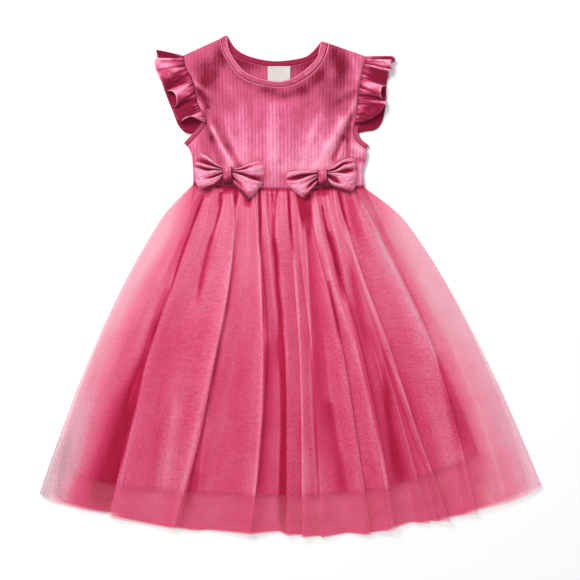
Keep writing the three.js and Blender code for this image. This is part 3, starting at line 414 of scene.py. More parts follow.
class Look:
    """A new material and its nodes. Scales are in cells for each metre of cloth, across and along."""

    def __init__(self, name):
        self.material = bpy.data.materials.new(name)
        self.material.use_nodes = True
        self.nodes, self.links = self.material.node_tree.nodes, self.material.node_tree.links
        self.shader = self.nodes["Principled BSDF"]

    def feed(self, socket, value):
        """Link another node's output to a socket, or set the socket to a number."""
        if isinstance(value, bpy.types.NodeSocket):
            self.links.new(value, socket)
        else:
            socket.default_value = value

    def node(self, kind, **inputs):
        made = self.nodes.new("ShaderNode" + kind)
        for name, value in inputs.items():
            self.feed(made.inputs[name], value)
        return made

    def math(self, operation, *values):
        made = self.node("Math")
        made.operation = operation
        for socket, value in zip(made.inputs, values):
            self.feed(socket, value)
        return made.outputs[0]

    def total(self, start, *terms):
        """The start plus each output times its weight."""
        for output, weight in terms:
            start = self.math("MULTIPLY_ADD", output, weight, start)
        return start

    def attribute(self, name):
        made = self.node("Attribute")
        made.attribute_name = name
        return made.outputs["Fac"]

    def place(self, across, along, turn=0.0):
        uv = self.node("UVMap")
        uv.uv_map = "cloth"
        made = self.node("Mapping", Vector=uv.outputs[0], Scale=(across, along, 1), Rotation=(0, 0, turn))
        return made.outputs[0]

    def noise(self, across, along, detail=3, roughness=0.55):
        place = self.place(across, along)
        return self.node("TexNoise", Vector=place, Scale=1, Detail=detail, Roughness=roughness).outputs["Fac"]

    def bands(self, direction, pitch, distortion, turn=0.0):
        """Stripes for threads a pitch apart, in mm."""
        place = self.place(1, 1, turn)
        made = self.node("TexWave", Vector=place, Scale=500 / pitch, Distortion=distortion, Detail=1)
        made.wave_type = "BANDS"
        made.bands_direction = direction
        return made.outputs["Fac"]

    def ramp(self, tone, stops):
        """The base colour, from a tone and its stops."""
        made = self.node("ValToRGB")
        while len(made.color_ramp.elements) < len(stops):
            made.color_ramp.elements.new(0.5)
        for element, (position, colour) in zip(made.color_ramp.elements, stops):
            element.position = position
            element.color = (*srgb(*colour), 1)
        self.links.new(tone, made.inputs[0])
        self.links.new(made.outputs[0], self.shader.inputs["Base Color"])

    def bump(self, height, strength, distance):
        made = self.node("Bump", Height=height, Strength=strength, Distance=distance)
        self.links.new(made.outputs[0], self.shader.inputs["Normal"])

    def finish(self, roughness, specular, sheen, sheen_roughness=0.5, tint=(1, 1, 1)):
        values = {"Roughness": roughness, "Specular IOR Level": specular, "Sheen Weight": sheen,
                  "Sheen Roughness": sheen_roughness, "Sheen Tint": (*tint, 1)}
        for name, value in values.items():
            self.shader.inputs[name].default_value = value
        return self.material


def srgb(r, g, b):
    """A linear colour from its 8-bit values."""
    return tuple(((c / 255 + 0.055) / 1.055) ** 2.4 if c > 10 else c / 3294.6 for c in (r, g, b))


def knit_material(name, light, mid, deep, pitch=1.3, bump=0.25, streak=1.0):
    """Fine knit: columns of stitches along V, heathered, with painted shade and highlights from its shading
    attribute.
    """
    look = Look(name)
    streaks = look.noise(900, 70, 4, 0.6)
    tone = look.total(0.09, (streaks, 0.26 * streak), (look.noise(90, 60), 0.3),
                      (look.noise(620, 460, 2), 0.36), (look.attribute("painted_shade_and_tone"), -0.42))
    look.ramp(tone, [(0.0, deep), (0.52, mid), (0.86, light)])
    columns, courses = look.bands("X", pitch, 0.6), look.bands("Y", 1.5 * pitch, 1.2)
    look.bump(look.total(look.math("MULTIPLY", columns, courses), (streaks, 1.4)), bump, 0.0006)
    return look.finish(0.82, 0.25, 0.25, 0.45, (1.0, 0.72, 0.82))


def crepe_material(name, light, mid, deep, grain, bump, crinkled, offset):
    """Crinkled light cloth: small irregular pebbles, darker between them."""
    look = Look(name)
    cells = look.place(1000 / grain, 1000 / grain)
    pebbles = look.node("TexVoronoi", Vector=cells, Scale=1).outputs["Distance"]
    crinkle = look.noise(420, 260, 4, 0.6)
    # The shading attribute paints shade, and highlights where it is negative, over the cloth's own crinkled
    # tone.
    tone = look.total(offset, (crinkle, crinkled), (look.noise(120, 90, 2), 0.4),
                      (look.attribute("painted_shade_and_tone"), -0.5))
    look.ramp(tone, [(0.0, deep), (0.42, mid), (0.8, light)])
    look.bump(look.total(crinkle, (pebbles, -0.5)), bump, 0.0007)
    return look.finish(0.85, 0.2, 0.2, 0.5, (1.0, 0.75, 0.85))


def tulle_material(name, grey, pale, light, mid, deep, pitch, turn):
    """Net: see-through by the attribute cover, in a fine lattice, with painted shade and highlights from its
    shading attribute.
    """
    look = Look(name)
    net = look.math("ADD", look.bands("X", pitch, 0.15, turn), look.bands("Y", pitch / 0.87, 0.15, turn))
    patch = look.total(1.42, (look.noise(75, 50, 5, 0.62), -0.5), (look.noise(520, 400, 1), -0.3))
    lattice = look.math("MULTIPLY", look.total(0.5, (net, 0.5)), patch)
    alpha = look.math("MULTIPLY", look.attribute("cover"), lattice)
    alpha.node.use_clamp = True
    look.links.new(alpha, look.shader.inputs["Alpha"])
    tone = look.total(0.152, (look.noise(420, 330, 2, 0.6), 0.448), (look.noise(45, 18), 0.176),
                      (look.attribute("painted_shade_and_tone"), -0.36))
    look.ramp(tone, [(0.0, deep), (0.32, mid), (0.544, light), (0.72, pale), (0.80, pale), (0.93, grey)])
    return look.finish(0.7, 0.3, 0.1, 0.4, (1.0, 0.8, 0.88))


def woven_material(name, light, mid, pitch=0.7, bump=0.15, roughness=0.7, sheen=0.1):
    """Plain fine weave."""
    look = Look(name)
    look.ramp(look.noise(60, 40, 4), [(0.3, mid), (0.7, light)])
    look.bump(look.math("MAXIMUM", look.bands("X", pitch, 0.3), look.bands("Y", pitch, 0.3)), bump, 0.0003)
    return look.finish(roughness, 0.25, sheen)


# The knit's and crepe's ramps run from the deepest painted shade to the lightest painted highlight.
rib_knit = knit_material("rib_knit", (240, 152, 182), (200, 84, 122), (120, 0, 42))
binding_knit = knit_material("rib_binding", (250, 170, 196), (226, 112, 148), (150, 24, 64), 1.1, 0.3, 0.6)
ruffle_cloth = crepe_material("ruffle_cloth", (240, 150, 180), (192, 64, 106), (130, 4, 48),
                              1.4, 0.5, 0.6, -0.10)
bow_cloth = crepe_material("bow_cloth", (246, 160, 188), (212, 92, 132), (134, 4, 48), 1.5, 1.3, 0.8, -0.33)
# The net's ramps run from painted shade to painted highlight, then to pale and grey for its paler sides.
tulle_outer = tulle_material("tulle_outer", (190, 160, 170), (240, 190, 206), (252, 142, 176), (238, 78, 128),
                             (182, 0, 60), 1.30, 0.35)
tulle_inner = tulle_material("tulle_inner", (186, 158, 167), (238, 184, 202), (246, 122, 160), (230, 60, 112),
                             (176, 0, 56), 1.34, 0.41)
lining_cloth = woven_material("lining", (190, 18, 74), (172, 4, 58))
label_tape = woven_material("label", (214, 208, 202), (192, 186, 180), 0.9, 0.3, 0.75)
thread = woven_material("thread", (246, 158, 190), (238, 140, 176), 0.5, 0.1)


def finish_piece(piece, slot, *nodes):
    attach(piece, "root")
    if nodes:
        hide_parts(*nodes)
    return piece


# Bodice

waist_path = Path(WAIST_SEAM)
side_seams = {side: Path(rows) for side, rows in SIDE_SEAM.items()}
armholes = {side: Path(rows) for side, rows in ARMHOLE.items()}
sides = {side: joined(side_seams[side], armholes[side]) for side in ("left", "right")}


def waist_y(x):
    return smooth_table([p[0] for p in WAIST_SEAM], [p[1] for p in WAIST_SEAM], x)


def arm_root(side, along):
    underarm = side_seams[side].length / sides[side].length
    return sides[side](lerp(underarm, 1, np.clip(along, 0, 1)))


def neckline(rows, column):
    """A neckline curve, spaced halfway between evenly in x and evenly along it."""
    curve = Path([row[column:column + 2] for row in rows])
    samples = curve(np.linspace(0, 1, 61))

    def at(across):
        share = np.interp(lerp(samples[0, 0], samples[-1, 0], across), samples[:, 0], np.linspace(0, 1, 61))
        return curve(lerp(across, share, 0.5))
    return at


def bodice_plan(neck_rows, across, up):
    """Points of a bodice panel in plan, for shares across (columns) and up (rows)."""
    seam = neckline(neck_rows, 2)
    left_end, right_end = armholes["left"](1.0), armholes["right"](1.0)
    inner = np.clip((across - SHOULDER_SHARE) / (1 - 2 * SHOULDER_SHARE), 0, 1)
    top = seam(inner)
    left_share = np.clip(across / SHOULDER_SHARE, 0, 1)[:, None]
    right_share = np.clip((1 - across) / SHOULDER_SHARE, 0, 1)[:, None]
    top = np.where(left_share < 1, lerp(left_end, seam(0.0), left_share), top)
    top = np.where(right_share < 1, lerp(right_end, seam(1.0), right_share), top)
    bottom = waist_path(across)
    v = up[:, None, None]
    plan = lerp(bottom[None], top[None], v)
    left_bend = sides["left"](up) - lerp(bottom[0], top[0], up[:, None])
    right_bend = sides["right"](up) - lerp(bottom[-1], top[-1], up[:, None])
    plan = plan + left_bend[:, None] * ((1 - across) ** SIDE_DECAY)[None, :, None]
    return plan + right_bend[:, None] * (across ** SIDE_DECAY)[None, :, None]


def bodice_folds(x, y):
    """How much shade is painted on the knit (negative for a highlight) and how sunk it is, by its folds."""
    dark, sink = np.zeros_like(x), np.zeros_like(x)
    for px0, py0, px1, py1, deep, width, low in BODICE_FOLDS:
        (x0, x1), (y0, y1) = from_pixels((px0, px1), (py0, py1))
        dx, dy = x1 - x0, y1 - y0
        along = ((x - x0) * dx + (y - y0) * dy) / (dx * dx + dy * dy)
        length = math.hypot(dx, dy)
        past = np.maximum(np.abs(along - 0.5) - 0.5, 0) * length
        beside = ((x - x0) * dy - (y - y0) * dx) / length
        reach = width * PIXEL * (0.85 + 0.3 * noise(int(px0 + py0), y / 12, x / 12))
        share = np.exp(-((beside / reach) ** 2) - (past / (1.3 * width * PIXEL)) ** 2)
        dark += deep * share * (0.75 if length < 3 * width else 0.62)
        sink += low * share
    return dark, sink


def bodice_height(across, up):
    rise = smoothstep(up, 0, 0.35)
    edge = lerp(BODICE_AT_WAIST, BODICE_EDGE, rise)
    crown = lerp(lerp(0.3, BODICE_CROWN, rise), NECK_CROWN, smoothstep(up, 0.5, 1))
    return edge + crown * (1 - np.abs(2 * across - 1) ** 3)


def rib_relief(x, seed):
    """Height share of the ribs at x, from 0 in a groove to 1 on a ridge, with uneven grooves."""
    phase = x / RIB_PITCH + 60
    ridge = np.abs(np.sin(math.pi * phase)) ** 0.45
    strength = np.random.default_rng(seed).uniform(0.4, 0.75, 128)
    return 1 - (1 - ridge) * strength[np.round(phase).astype(int)]


def bodice_front_piece():
    a = np.linspace(0, 1, 401)[None, :]
    v = np.concatenate([[0, 0.004, 0.012], np.linspace(0.022, 1, 116)])[:, None]
    plan = bodice_plan(NECK_FRONT, a[0], v[:, 0])
    x, y = plan[..., 0], plan[..., 1]
    fade = smoothstep(1 - np.abs(2 * a - 1) ** 6, 0, 0.25)
    fade = fade * smoothstep(v, 0, 0.1) * (1 - smoothstep(v, 0.93, 1))
    dark, sink = bodice_folds(x, y)
    straight = x * (1 - 0.05 * (y - 120) / 190) + 0.9 * noise(11, x / 30, y / 50)
    relief = rib_relief(straight, 5)
    crown = 4.5 * (1 - np.abs(2 * a - 1) ** 2.2) * smoothstep(v, 0, 0.3) * (1 - smoothstep(v, 0.75, 1))
    puff = 3.2 * bell(x, 93, 7) * bell(y, 168, 8)
    z = bodice_height(a, v) + crown - sink * fade + puff
    z = z + 0.5 * noise(8, x / 24, y / 60) * fade + 0.12 * noise(9, x / 8, y / 30) * fade
    under = z - KNIT
    z = z + RIB_HEIGHT * relief
    z = z - 1.6 * (1 - smoothstep(v, 0, 0.022)) - 0.5 * (1 - smoothstep(v, 0, 0.05))
    z = z - 0.9 * (1 - smoothstep(np.minimum(a, 1 - a), 0, 0.012))
    # Painted shade in the rib grooves, on the turned-under waist edge and in the folds, highlights where
    # negative.
    painted_shade_and_tone = 0.85 * (1 - relief) - 0.06 + 1.2 * (1 - smoothstep(v, 0, 0.02)) + 1.8 * dark
    piece = add_shell("bodice_front_cloth", lifted(plan, z), lifted(plan, np.minimum(under, z - 0.25)),
                      stacked(straight, y), rib_knit, {"painted_shade_and_tone": painted_shade_and_tone})
    return finish_piece(piece, "rib_knit", "bodice_front")


def bodice_back_piece():
    plan = bodice_plan(NECK_BACK, np.linspace(0, 1, 301), np.linspace(0, 1, 50))
    x, y = plan[..., 0], plan[..., 1]
    relief = rib_relief(x, 6)
    # Painted shade on the back seen inside the neckline, in the front's shade, less in the middle and two
    # spots.
    shade = 0.55 * bell(y, 283, 9) + (1 - 0.7 * bell(x, -22, 34)) * smoothstep(y, 240, 262)
    shade = shade - 0.35 * bell(x, -38, 12) * bell(y, 262, 9) - 0.3 * bell(x, 12, 10) * bell(y, 264, 8)
    outer, inner = lifted(plan, 1.1 + 0.4 * relief), lifted(plan, 0.35 * (1 - relief))
    # Painted shade in the rib grooves, added to it.
    painted_shade_and_tone = 0.75 * (1 - relief) + shade
    piece = add_shell("bodice_back_cloth", outer, inner, plan, rib_knit, {"painted_shade_and_tone": painted_shade_and_tone})
    return finish_piece(piece, "rib_knit", "bodice_back")


def neck_height(share):
    return bodice_height(lerp(SHOULDER_SHARE, 1 - SHOULDER_SHARE, share), np.ones_like(share))


def binding_piece(name, node, rows, foot, wall, bulge, floor, shade):
    """A band along the neckline: a rolled edge, a flat band, a groove and the ridge of its coverstitch."""
    share, c = np.linspace(0, 1, 361), np.linspace(0, 1.09, 38)[:, None]
    plan = lerp(neckline(rows, 0)(share)[None], neckline(rows, 2)(share)[None], c[..., None])
    roll = np.sqrt(np.clip(1 - ((c - 0.1) / 0.1) ** 2, 0, 1)) * (c < 0.1) + (c >= 0.1)
    band = roll * (1 - smoothstep(c, 0.72, 0.86))
    raised = (wall * 0.7 + bulge) * band + 0.45 * bell(c, 0.11, 0.09) + bulge * 2.2 * bell(c, 0.96, 0.055)
    fine = 0.09 * np.sin(share * 2 * math.pi * 120) * band
    top = foot(share) + wall * 0.3 + raised + fine
    under = np.minimum(np.maximum(foot(share), floor), top - 0.2)
    # Painted shade: in the groove before the coverstitch's ridge, in the ridge's shadow beyond it, softly
    # over the band.
    dark = 0.95 * bell(c, 0.83, 0.05) + 0.9 * smoothstep(c, 1.02, 1.07) + 0.3 * bell(c, 0.5, 0.25)
    # Painted highlights on the rolled edge and on the ridge.
    light = 0.75 * bell(c, 0.09, 0.07) + 1.1 * bell(c, 0.96, 0.05)
    piece = add_shell(name, lifted(plan, top), lifted(plan, under), stacked(c * 8, share * 230), binding_knit,
                      {"painted_shade_and_tone": dark - light + shade})
    return finish_piece(piece, "rib_binding", node)


def neck_stitches():
    """Short threads across the front band, close together near both shoulders."""
    share = np.concatenate([np.linspace(0.015, 0.23, 26), np.linspace(0.77, 0.985, 26)])
    edge, seam = neckline(NECK_FRONT, 0)(share), neckline(NECK_FRONT, 2)(share)
    centres = np.concatenate([lerp(edge, seam, 0.5), neck_height(share)[:, None] + 1.15], 1)
    directions = np.concatenate([seam - edge, np.zeros((len(share), 1))], 1)
    return stitch_parts(centres, directions, 4.2, 0.55, 0.45)


def arm_binding_piece(side, layer):
    """The band along the low part of an armhole: a dome across its width."""
    outward = 1 if side == "left" else -1
    foot = BODICE_EDGE - KNIT if layer == "front" else 0.0
    share, c = np.linspace(0, 0.29, 61), np.linspace(0, 1, 11)[:, None]
    root, tangent = arm_root(side, share), armholes[side].tangent(share)
    normal = np.stack([-tangent[:, 1], tangent[:, 0]], -1) * outward
    plan = root + normal * c[..., None] * 6
    dome = np.sqrt(np.clip(1 - np.abs(2 * c - 1) ** 2.4, 0, 1))
    fine = 0.06 * np.sin(share * 2 * math.pi * 110) * dome
    top, under = foot + 0.55 + 1.25 * dome + fine, foot + 0.1 * (1 - dome)
    # Painted shade along the armhole seam and over the whole band, a little more on the left side.
    painted_shade_and_tone = bell(c, 0, 0.1) + (0.9 if side == "left" else 0.8)
    name = f"arm_binding_{layer}_{side}"
    piece = add_shell(name + "_cloth", lifted(plan, top), lifted(plan, under), stacked(c * 6, share * 130),
                      binding_knit, {"painted_shade_and_tone": painted_shade_and_tone})
    return finish_piece(piece, "rib_binding", name)


def neck_label_piece():
    """The bare tape, with a woven edge and a slight wave."""
    width, height = 28.5, 24
    a, d = np.linspace(0, 1, 41)[None, :], np.linspace(0, 1, 37)[:, None]
    edge = np.minimum(np.minimum(a, 1 - a) * width, d * height)
    z = 2.75 + 0.25 * bell(edge, 1.2, 0.5) + 0.12 * np.sin(a * 5) * d
    grid = stacked(-14.5 + (a - 0.5) * width, 275 - d * height, z)
    piece = add_shell("neck_tab_cloth", grid, grid - THIN_WALL, stacked(a * width, d * height), label_tape)
    return finish_piece(piece, "label", "neck_label")


# Skirt

FOLDS = {name: np.array([row[i] for row in FOLD_ROWS], float) for i, name in enumerate(FOLD_COLUMNS)}
FOLD_COUNT = len(FOLD_ROWS) - 1
PROFILE_STOPS = (0, 0.2, 0.4, 0.6, 0.76, 0.87, 0.94, 1)
PROFILE_ACROSS = (0, 0.22, 0.45, 0.68, 0.86, 0.96, 0.99, 1)
PROFILE_HEIGHT = (0, 0.22, 0.46, 0.70, 0.90, 0.98, 0.60, 0)
PROFILE_OVER = (0, 0, 0, 0.12, 0.6, 1.0, 0.75, 0)
SOFT_FOLDS = (0, 1, 4, FOLD_COUNT - 1)


def inside_lining(x, y):
    """How far a point is inside the lining's sides and hem, in mm."""
    down = waist_y(x) - y
    table = np.array(LINING_SIDES, float)
    side = smooth_table(table[:, 0], table[:, 1:], np.clip(down, 0, LINING_LENGTH))
    x_inside = np.clip(x, LINING_HEM[0][0], LINING_HEM[-1][0])
    hem = smooth_table([p[0] for p in LINING_HEM], [p[1] for p in LINING_HEM], x_inside)
    return np.minimum(x - side[..., 0], side[..., 1] - x), y - hem


def over_lining(x, y):
    side, hem = inside_lining(x, y)
    return smoothstep(np.minimum(side, hem), -45, -20)


def skirt_creases(x, y):
    """The net's painted shade (negative for highlights) and how sunk it is, by its main creases and its
    gathers.
    """
    dark, sink = np.zeros_like(x), np.zeros_like(x)
    for row in SKIRT_CREASES + WAIST_GATHERS:
        top, bottom, x_top, x_middle, x_bottom, left, right, deep, low = row[:9]
        taper = row[9] if len(row) > 9 else 1
        gather = row in WAIST_GATHERS
        slow_start = len(row) > 9 and not gather
        t = (MIDDLE_Y - top - y / PIXEL) / (bottom - top)
        bend = lerp(x_top, x_bottom, t) + (x_middle - (x_top + x_bottom) / 2) * 4 * t * (1 - t)
        away = x - (bend - MIDDLE_X) * PIXEL + 0.8 * noise(int(top + x_top), y / 40, x_top)
        width = np.where(away < 0, left, right) * PIXEL * lerp(1, taper, np.clip(t, 0, 1))
        share = np.exp(-(np.abs(away / width) ** (3 if gather else 2)))
        share = share * smoothstep(t, -0.03, 0.3 if slow_start else 0.08)
        share = share * (0.82 + 0.3 * noise(int(bottom + x_bottom), t * 6, x_top / 9))
        fade_from = 0.45 if gather else 0.85 if bottom > 480 else 0.72
        share = share * (1 - smoothstep(t, fade_from, 1.04))
        dark += deep * share * (1.05 if deep > 0 else 0.58)
        sink += low * share
    return dark, sink


def gathers(u, down, seed, count, height, reach):
    """The waist's uneven gathers: how high they stand, and how deep the cloth lies between them."""
    random = np.random.default_rng(seed)
    widths = random.uniform(0.45, 1.0, count) ** 1.7
    ends = np.concatenate([[0], np.cumsum(widths)]) / widths.sum()
    heights = height * random.uniform(0.45, 1.25, count)
    reaches = reach * random.uniform(0.35, 1.0, count) ** 2.2
    bent = np.clip(u + 0.006 * noise(seed + 1, u * 9, down / 60), 0, 0.99999)
    cell = np.clip(np.searchsorted(ends, bent, side="right") - 1, 0, count - 1)
    t = (bent - ends[cell]) / (ends[cell + 1] - ends[cell])
    ridge = np.sin(math.pi * t) ** 0.7
    fade = np.exp(-np.maximum(down, 0) / reaches[cell])
    edge = np.minimum(t, 1 - t) * 2
    beside = np.where(t < 0.5, np.maximum(cell - 1, 0), np.minimum(cell + 1, count - 1))
    blend = lerp((fade + np.exp(-np.maximum(down, 0) / reaches[beside])) / 2, fade, smoothstep(edge, 0, 1))
    tall = lerp((heights[cell] + heights[beside]) / 2, heights[cell], smoothstep(edge, 0, 1))
    return tall * ridge * blend, (1 - ridge) ** 1.4 * blend


def fold_grid(spacing, rows, over_share, height_share, seed):
    """Plan and fold height of the skirt's cloth: columns over the folds, rows down from the waist."""
    counts = np.round(4 + 4 / spacing + np.diff(FOLDS["hem"]) / spacing).astype(int)
    fold = np.repeat(np.arange(FOLD_COUNT), counts)
    s = np.concatenate([np.linspace(0, 1, count + 1)[:-1] for count in counts])
    fold, s = np.append(fold, FOLD_COUNT - 1), np.append(s, 1.0)
    lean = FOLDS["lean"][fold]
    turned = np.where(lean > 0, s, 1 - s)
    profiles = (PROFILE_ACROSS, PROFILE_HEIGHT, PROFILE_OVER)
    f0, h, f1 = (smooth_table(PROFILE_STOPS, profile, turned) for profile in profiles)
    soft = np.isin(fold, SOFT_FOLDS)
    f0, f1 = np.where(soft, turned, f0), np.where(soft, 0, f1)
    h = np.where(soft, 0.8 * np.sin(math.pi * turned), h)
    lines = smooth_table(LINE_STOPS, np.stack([FOLDS[k] for k in ("waist", "upper", "middle", "hem")]), rows)
    left, right = lines[:, fold], lines[:, fold + 1]
    width = right - left
    wander = 0.75 + 0.5 * noise(seed, fold * 3.1 + 0.5, rows[:, None] * 4)
    over = FOLDS["over"][fold] * over_share * smoothstep(rows, 0.03, 0.35)[:, None] * wander
    over = np.minimum(over, 0.45 * width)
    f = f0 + f1 * over / np.maximum(width, 1)
    f = np.where(lean > 0, f, 1 - f)
    x = left + width * f
    cloth = lerp(FOLDS["waist"][fold], FOLDS["waist"][fold + 1], s)
    start = waist_y(lerp(FOLDS["waist"][fold], FOLDS["waist"][fold + 1], np.clip(f, 0, 1)))
    end = lerp(FOLDS["end"][fold], FOLDS["end"][fold + 1], s)
    v = rows[:, None]
    y = lerp(start, end, v) - (2.5 * h + 1.2) * v**3
    rise = FOLDS["rise"][fold] * lerp(0.12, 1, smoothstep(v, 0, 0.4))
    rise = np.minimum(rise, 0.6 * np.maximum(width - 4, 0))
    rise = rise * height_share * (0.85 + 0.3 * noise(seed + 1, fold * 2.3, v * 3.5))
    rise = rise * lerp(0.3, 1, smoothstep(np.minimum(fold, FOLD_COUNT - 1 - fold), 0.5, 3.0))
    u = np.broadcast_to((cloth - WAIST_LEFT) / (WAIST_RIGHT - WAIST_LEFT), x.shape)
    # A fold's crest casts a shade on the cloth beside it.
    size = np.concatenate([[0], FOLDS["rise"][:-1] * FOLDS["dark"][:-1], [0]])
    leans = np.concatenate([[0], FOLDS["lean"][:-1], [0]])
    before = np.where(leans[fold] > 0, size[fold], 0)
    after = np.where(leans[fold + 2] < 0, size[fold + 2], 0)
    reach = 4 + 0.12 * width
    shade = (before * np.exp(-s * width / reach) + after * np.exp(-(1 - s) * width / reach)) / 9
    crest = FOLDS["rise"][fold] / 9 * smoothstep(turned, 0.45, 0.92) * smoothstep(v, 0.05, 0.3)
    shade = shade * smoothstep(v, 0.02, 0.25) * (1 - 0.35 * smoothstep(v, 0.8, 1))
    under = np.broadcast_to(np.where(soft, 0, smoothstep(turned, 0.86, 0.90)), x.shape)
    return x, y, rise * h, u, shade, crest, under


def side_haze(x, v):
    """How pale the net is towards the skirt's sides, and how bare it is beside the waist."""
    edge = np.maximum(np.minimum(x - x[:, :1], x[:, -1:] - x), 0)
    left = (1 - smoothstep(x, -120, 0)) * smoothstep(v, 0.1, 0.3)
    right = smoothstep(x, 0, 100) * (1 - smoothstep(v, 0.4, 0.7))
    reach = lerp(20, 35, smoothstep(v, 0, 0.2)) * lerp(1, 0.84, left) * lerp(1, 1.45, right)
    haze = np.exp(-((edge / reach) ** 1.5)) * smoothstep(v, -0.02, 0.16)
    bare = bell(edge, 0, lerp(16, 27, smoothstep(x, 0, 60))) * (1 - smoothstep(v, 0.5, 0.8))
    return haze, bare


def net_tones(x, v, down, creases, haze, past_hem):
    """How deep the net's colour is, and negative where it is pale, from its sides and hem and painted shade
    and highlights in its creases and at its waist.
    """
    pale = haze * lerp(0.8, lerp(1.55, 0.95, smoothstep(x, -150, 150)), smoothstep(v, 0.6, 0.95))
    painted_shade_and_tone = (np.maximum(creases, -0.38 * (1 - 0.8 * haze)) - pale
              + 0.42 * smoothstep(past_hem, -3, 6) * (1 - haze)
              + 1.0 * (1 - smoothstep(down, 0, 3.5)) + 0.22 * smoothstep(down, 90, 240))
    tip = smoothstep(v, 0.55, 0.95) * (1 - smoothstep(x, -180, -60))
    return np.maximum(painted_shade_and_tone, lerp(-0.62, -1.7, tip))


def roll_sides(grid):
    """The grid with two more columns at each side, which turn down."""
    rolls = []
    for edge, sign in ((grid[:, :1], 1), (grid[:, -1:], -1)):
        rolls.append([edge + np.array([sign * dx, 0, 0]) - [0, 0, 1] * (edge[..., 2:] - 1.7) * dz
                      for dx, dz in ((0.2, 0.45), (1.4, 1.0))])
    return np.concatenate([rolls[0][1], rolls[0][0], grid, rolls[1][0], rolls[1][1]], 1)


def gathered(v):
    """How close together the gathers bring the net's threads, down from the waist."""
    return 0.6 + 0.4 * HEM_CUT / smooth_table(LINE_STOPS, SKIRT_WIDTHS, v)


def inner_plan(x, v, narrowing):
    """The plan of an inner ply, a little narrower towards the hem."""
    middle = (WAIST_LEFT + WAIST_RIGHT) / 2 * (1 - v)
    return middle + (x - middle) * (1 - narrowing * v**2)


def tulle_front_ply(name, ply):
    """One ply of the front: 0 is the outer one."""
    outer = ply == 0
    rows = np.concatenate([np.linspace(0, 0.1, 24)[:-1], np.linspace(0.1, 1, 84)])
    spacing, over_share, height_share = (1.25, 0.7, 0.8) if outer else (2.2, 0.3, 0.6)
    x, y, fold, u, shade, crest, under = fold_grid(spacing, rows, over_share, height_share, 20 + ply)
    v = rows[:, None]
    down = waist_y(x) - y
    if not outer:
        x = inner_plan(x, v, 0.055)
        y = y + (1.0 + 0.9 * noise(31, u * 7, 0.3)) * v**2
    on_lining = over_lining(x, y)
    tall, deep = gathers(u, down, 33 + 3 * ply, 25 if outer else 21, 1.8, 70)
    slim, slit = gathers(u, down, 41 + 3 * ply, 58, 0.5, 200)
    dark, sink = skirt_creases(x, y)
    streaks = 0.5 * noise(35 + ply, u * 42, v * 2.2) + 0.3 * noise(37 + ply, u * 90, v * 3)
    streaks = streaks * smoothstep(down, 0, 60)
    waves = 1.2 * noise(41 + ply, u * 16, v * 2.6) * smoothstep(down, 20, 120)
    z = lerp(TULLE_LOW, lerp(TULLE_AT_WAIST, TULLE_HIGH, smoothstep(v, 0, 0.1)), on_lining) + fold + waves
    z = z + (tall + slim - 0.9) * smoothstep(down, -1, 6) - 1.2 * (1 - smoothstep(down, -0.5, 2.5))
    z = z + streaks - sink if outer else z + 0.7 * streaks - 0.6 * sink - 1.0
    z = np.maximum(z, lerp(1.8, 4.8, on_lining) + (0.35 if outer else 0))

    haze, bare = side_haze(x, v)
    side, hem = inside_lining(x, y)
    # Painted shade from crest shadows, creases and gathers; painted highlights on crests and raised streaks.
    creases = 0.3 * shade + dark + 0.45 * deep + 0.25 * slit - 0.2 * crest - 0.1 * streaks
    painted_shade_and_tone = net_tones(x, v, down, creases, haze, -hem)
    near = smoothstep(side, -10, 30) * smoothstep(hem, -8, 4)
    # The painted shade also thins the net on the lining, to show more deep lining, and thickens it off it.
    shade = 0.3 * shade + np.clip(dark, -0.8, 1.4) * lerp(-1.6, 1, near)
    thin = 0.20 + 0.10 * near if outer else 0.18 + 0.16 * near
    thin = (thin + 0.22 * haze * smoothstep(v, 0.15, 0.6)) * (1 - 0.62 * bare)

    grid = stacked(x, y, z)
    grid = roll_sides(np.concatenate([grid[:1] + np.array([0, 3.0, -1.0]), grid]))
    painted_shade_and_tone, thin, crest, shade, under = (np.pad(k, ((1, 0), (2, 2)), mode="edge")
                                         for k in (painted_shade_and_tone, thin, crest, shade, under))
    v = np.concatenate([[0], rows])[:, None]
    steep = 1 / np.clip(np.abs(grid_normals(grid)[..., 2]), 0.42, 1)
    weight = np.clip(0.3 + 0.7 * steep, 1, 2.2) * gathered(v) * (1 + 0.8 * smoothstep(v, 0.985, 1))
    weight = weight * (1 + 0.5 * crest - 0.45 * np.clip(shade, -1, 1.3))
    cover = (1 - (1 - thin) ** weight) * (1 - 0.6 * under)
    cover[:, :2] *= 0.4
    cover[:, -2:] *= 0.4
    v[0] = -0.007
    uv = stacked(np.linspace(0, 1, grid.shape[1]) * HEM_CUT, v * SKIRT_CUT)
    net = tulle_outer if outer else tulle_inner
    piece = add_sheet(name, grid, uv, net, {"cover": cover, "painted_shade_and_tone": painted_shade_and_tone})
    return finish_piece(piece, "tulle", "skirt_tulle_front")


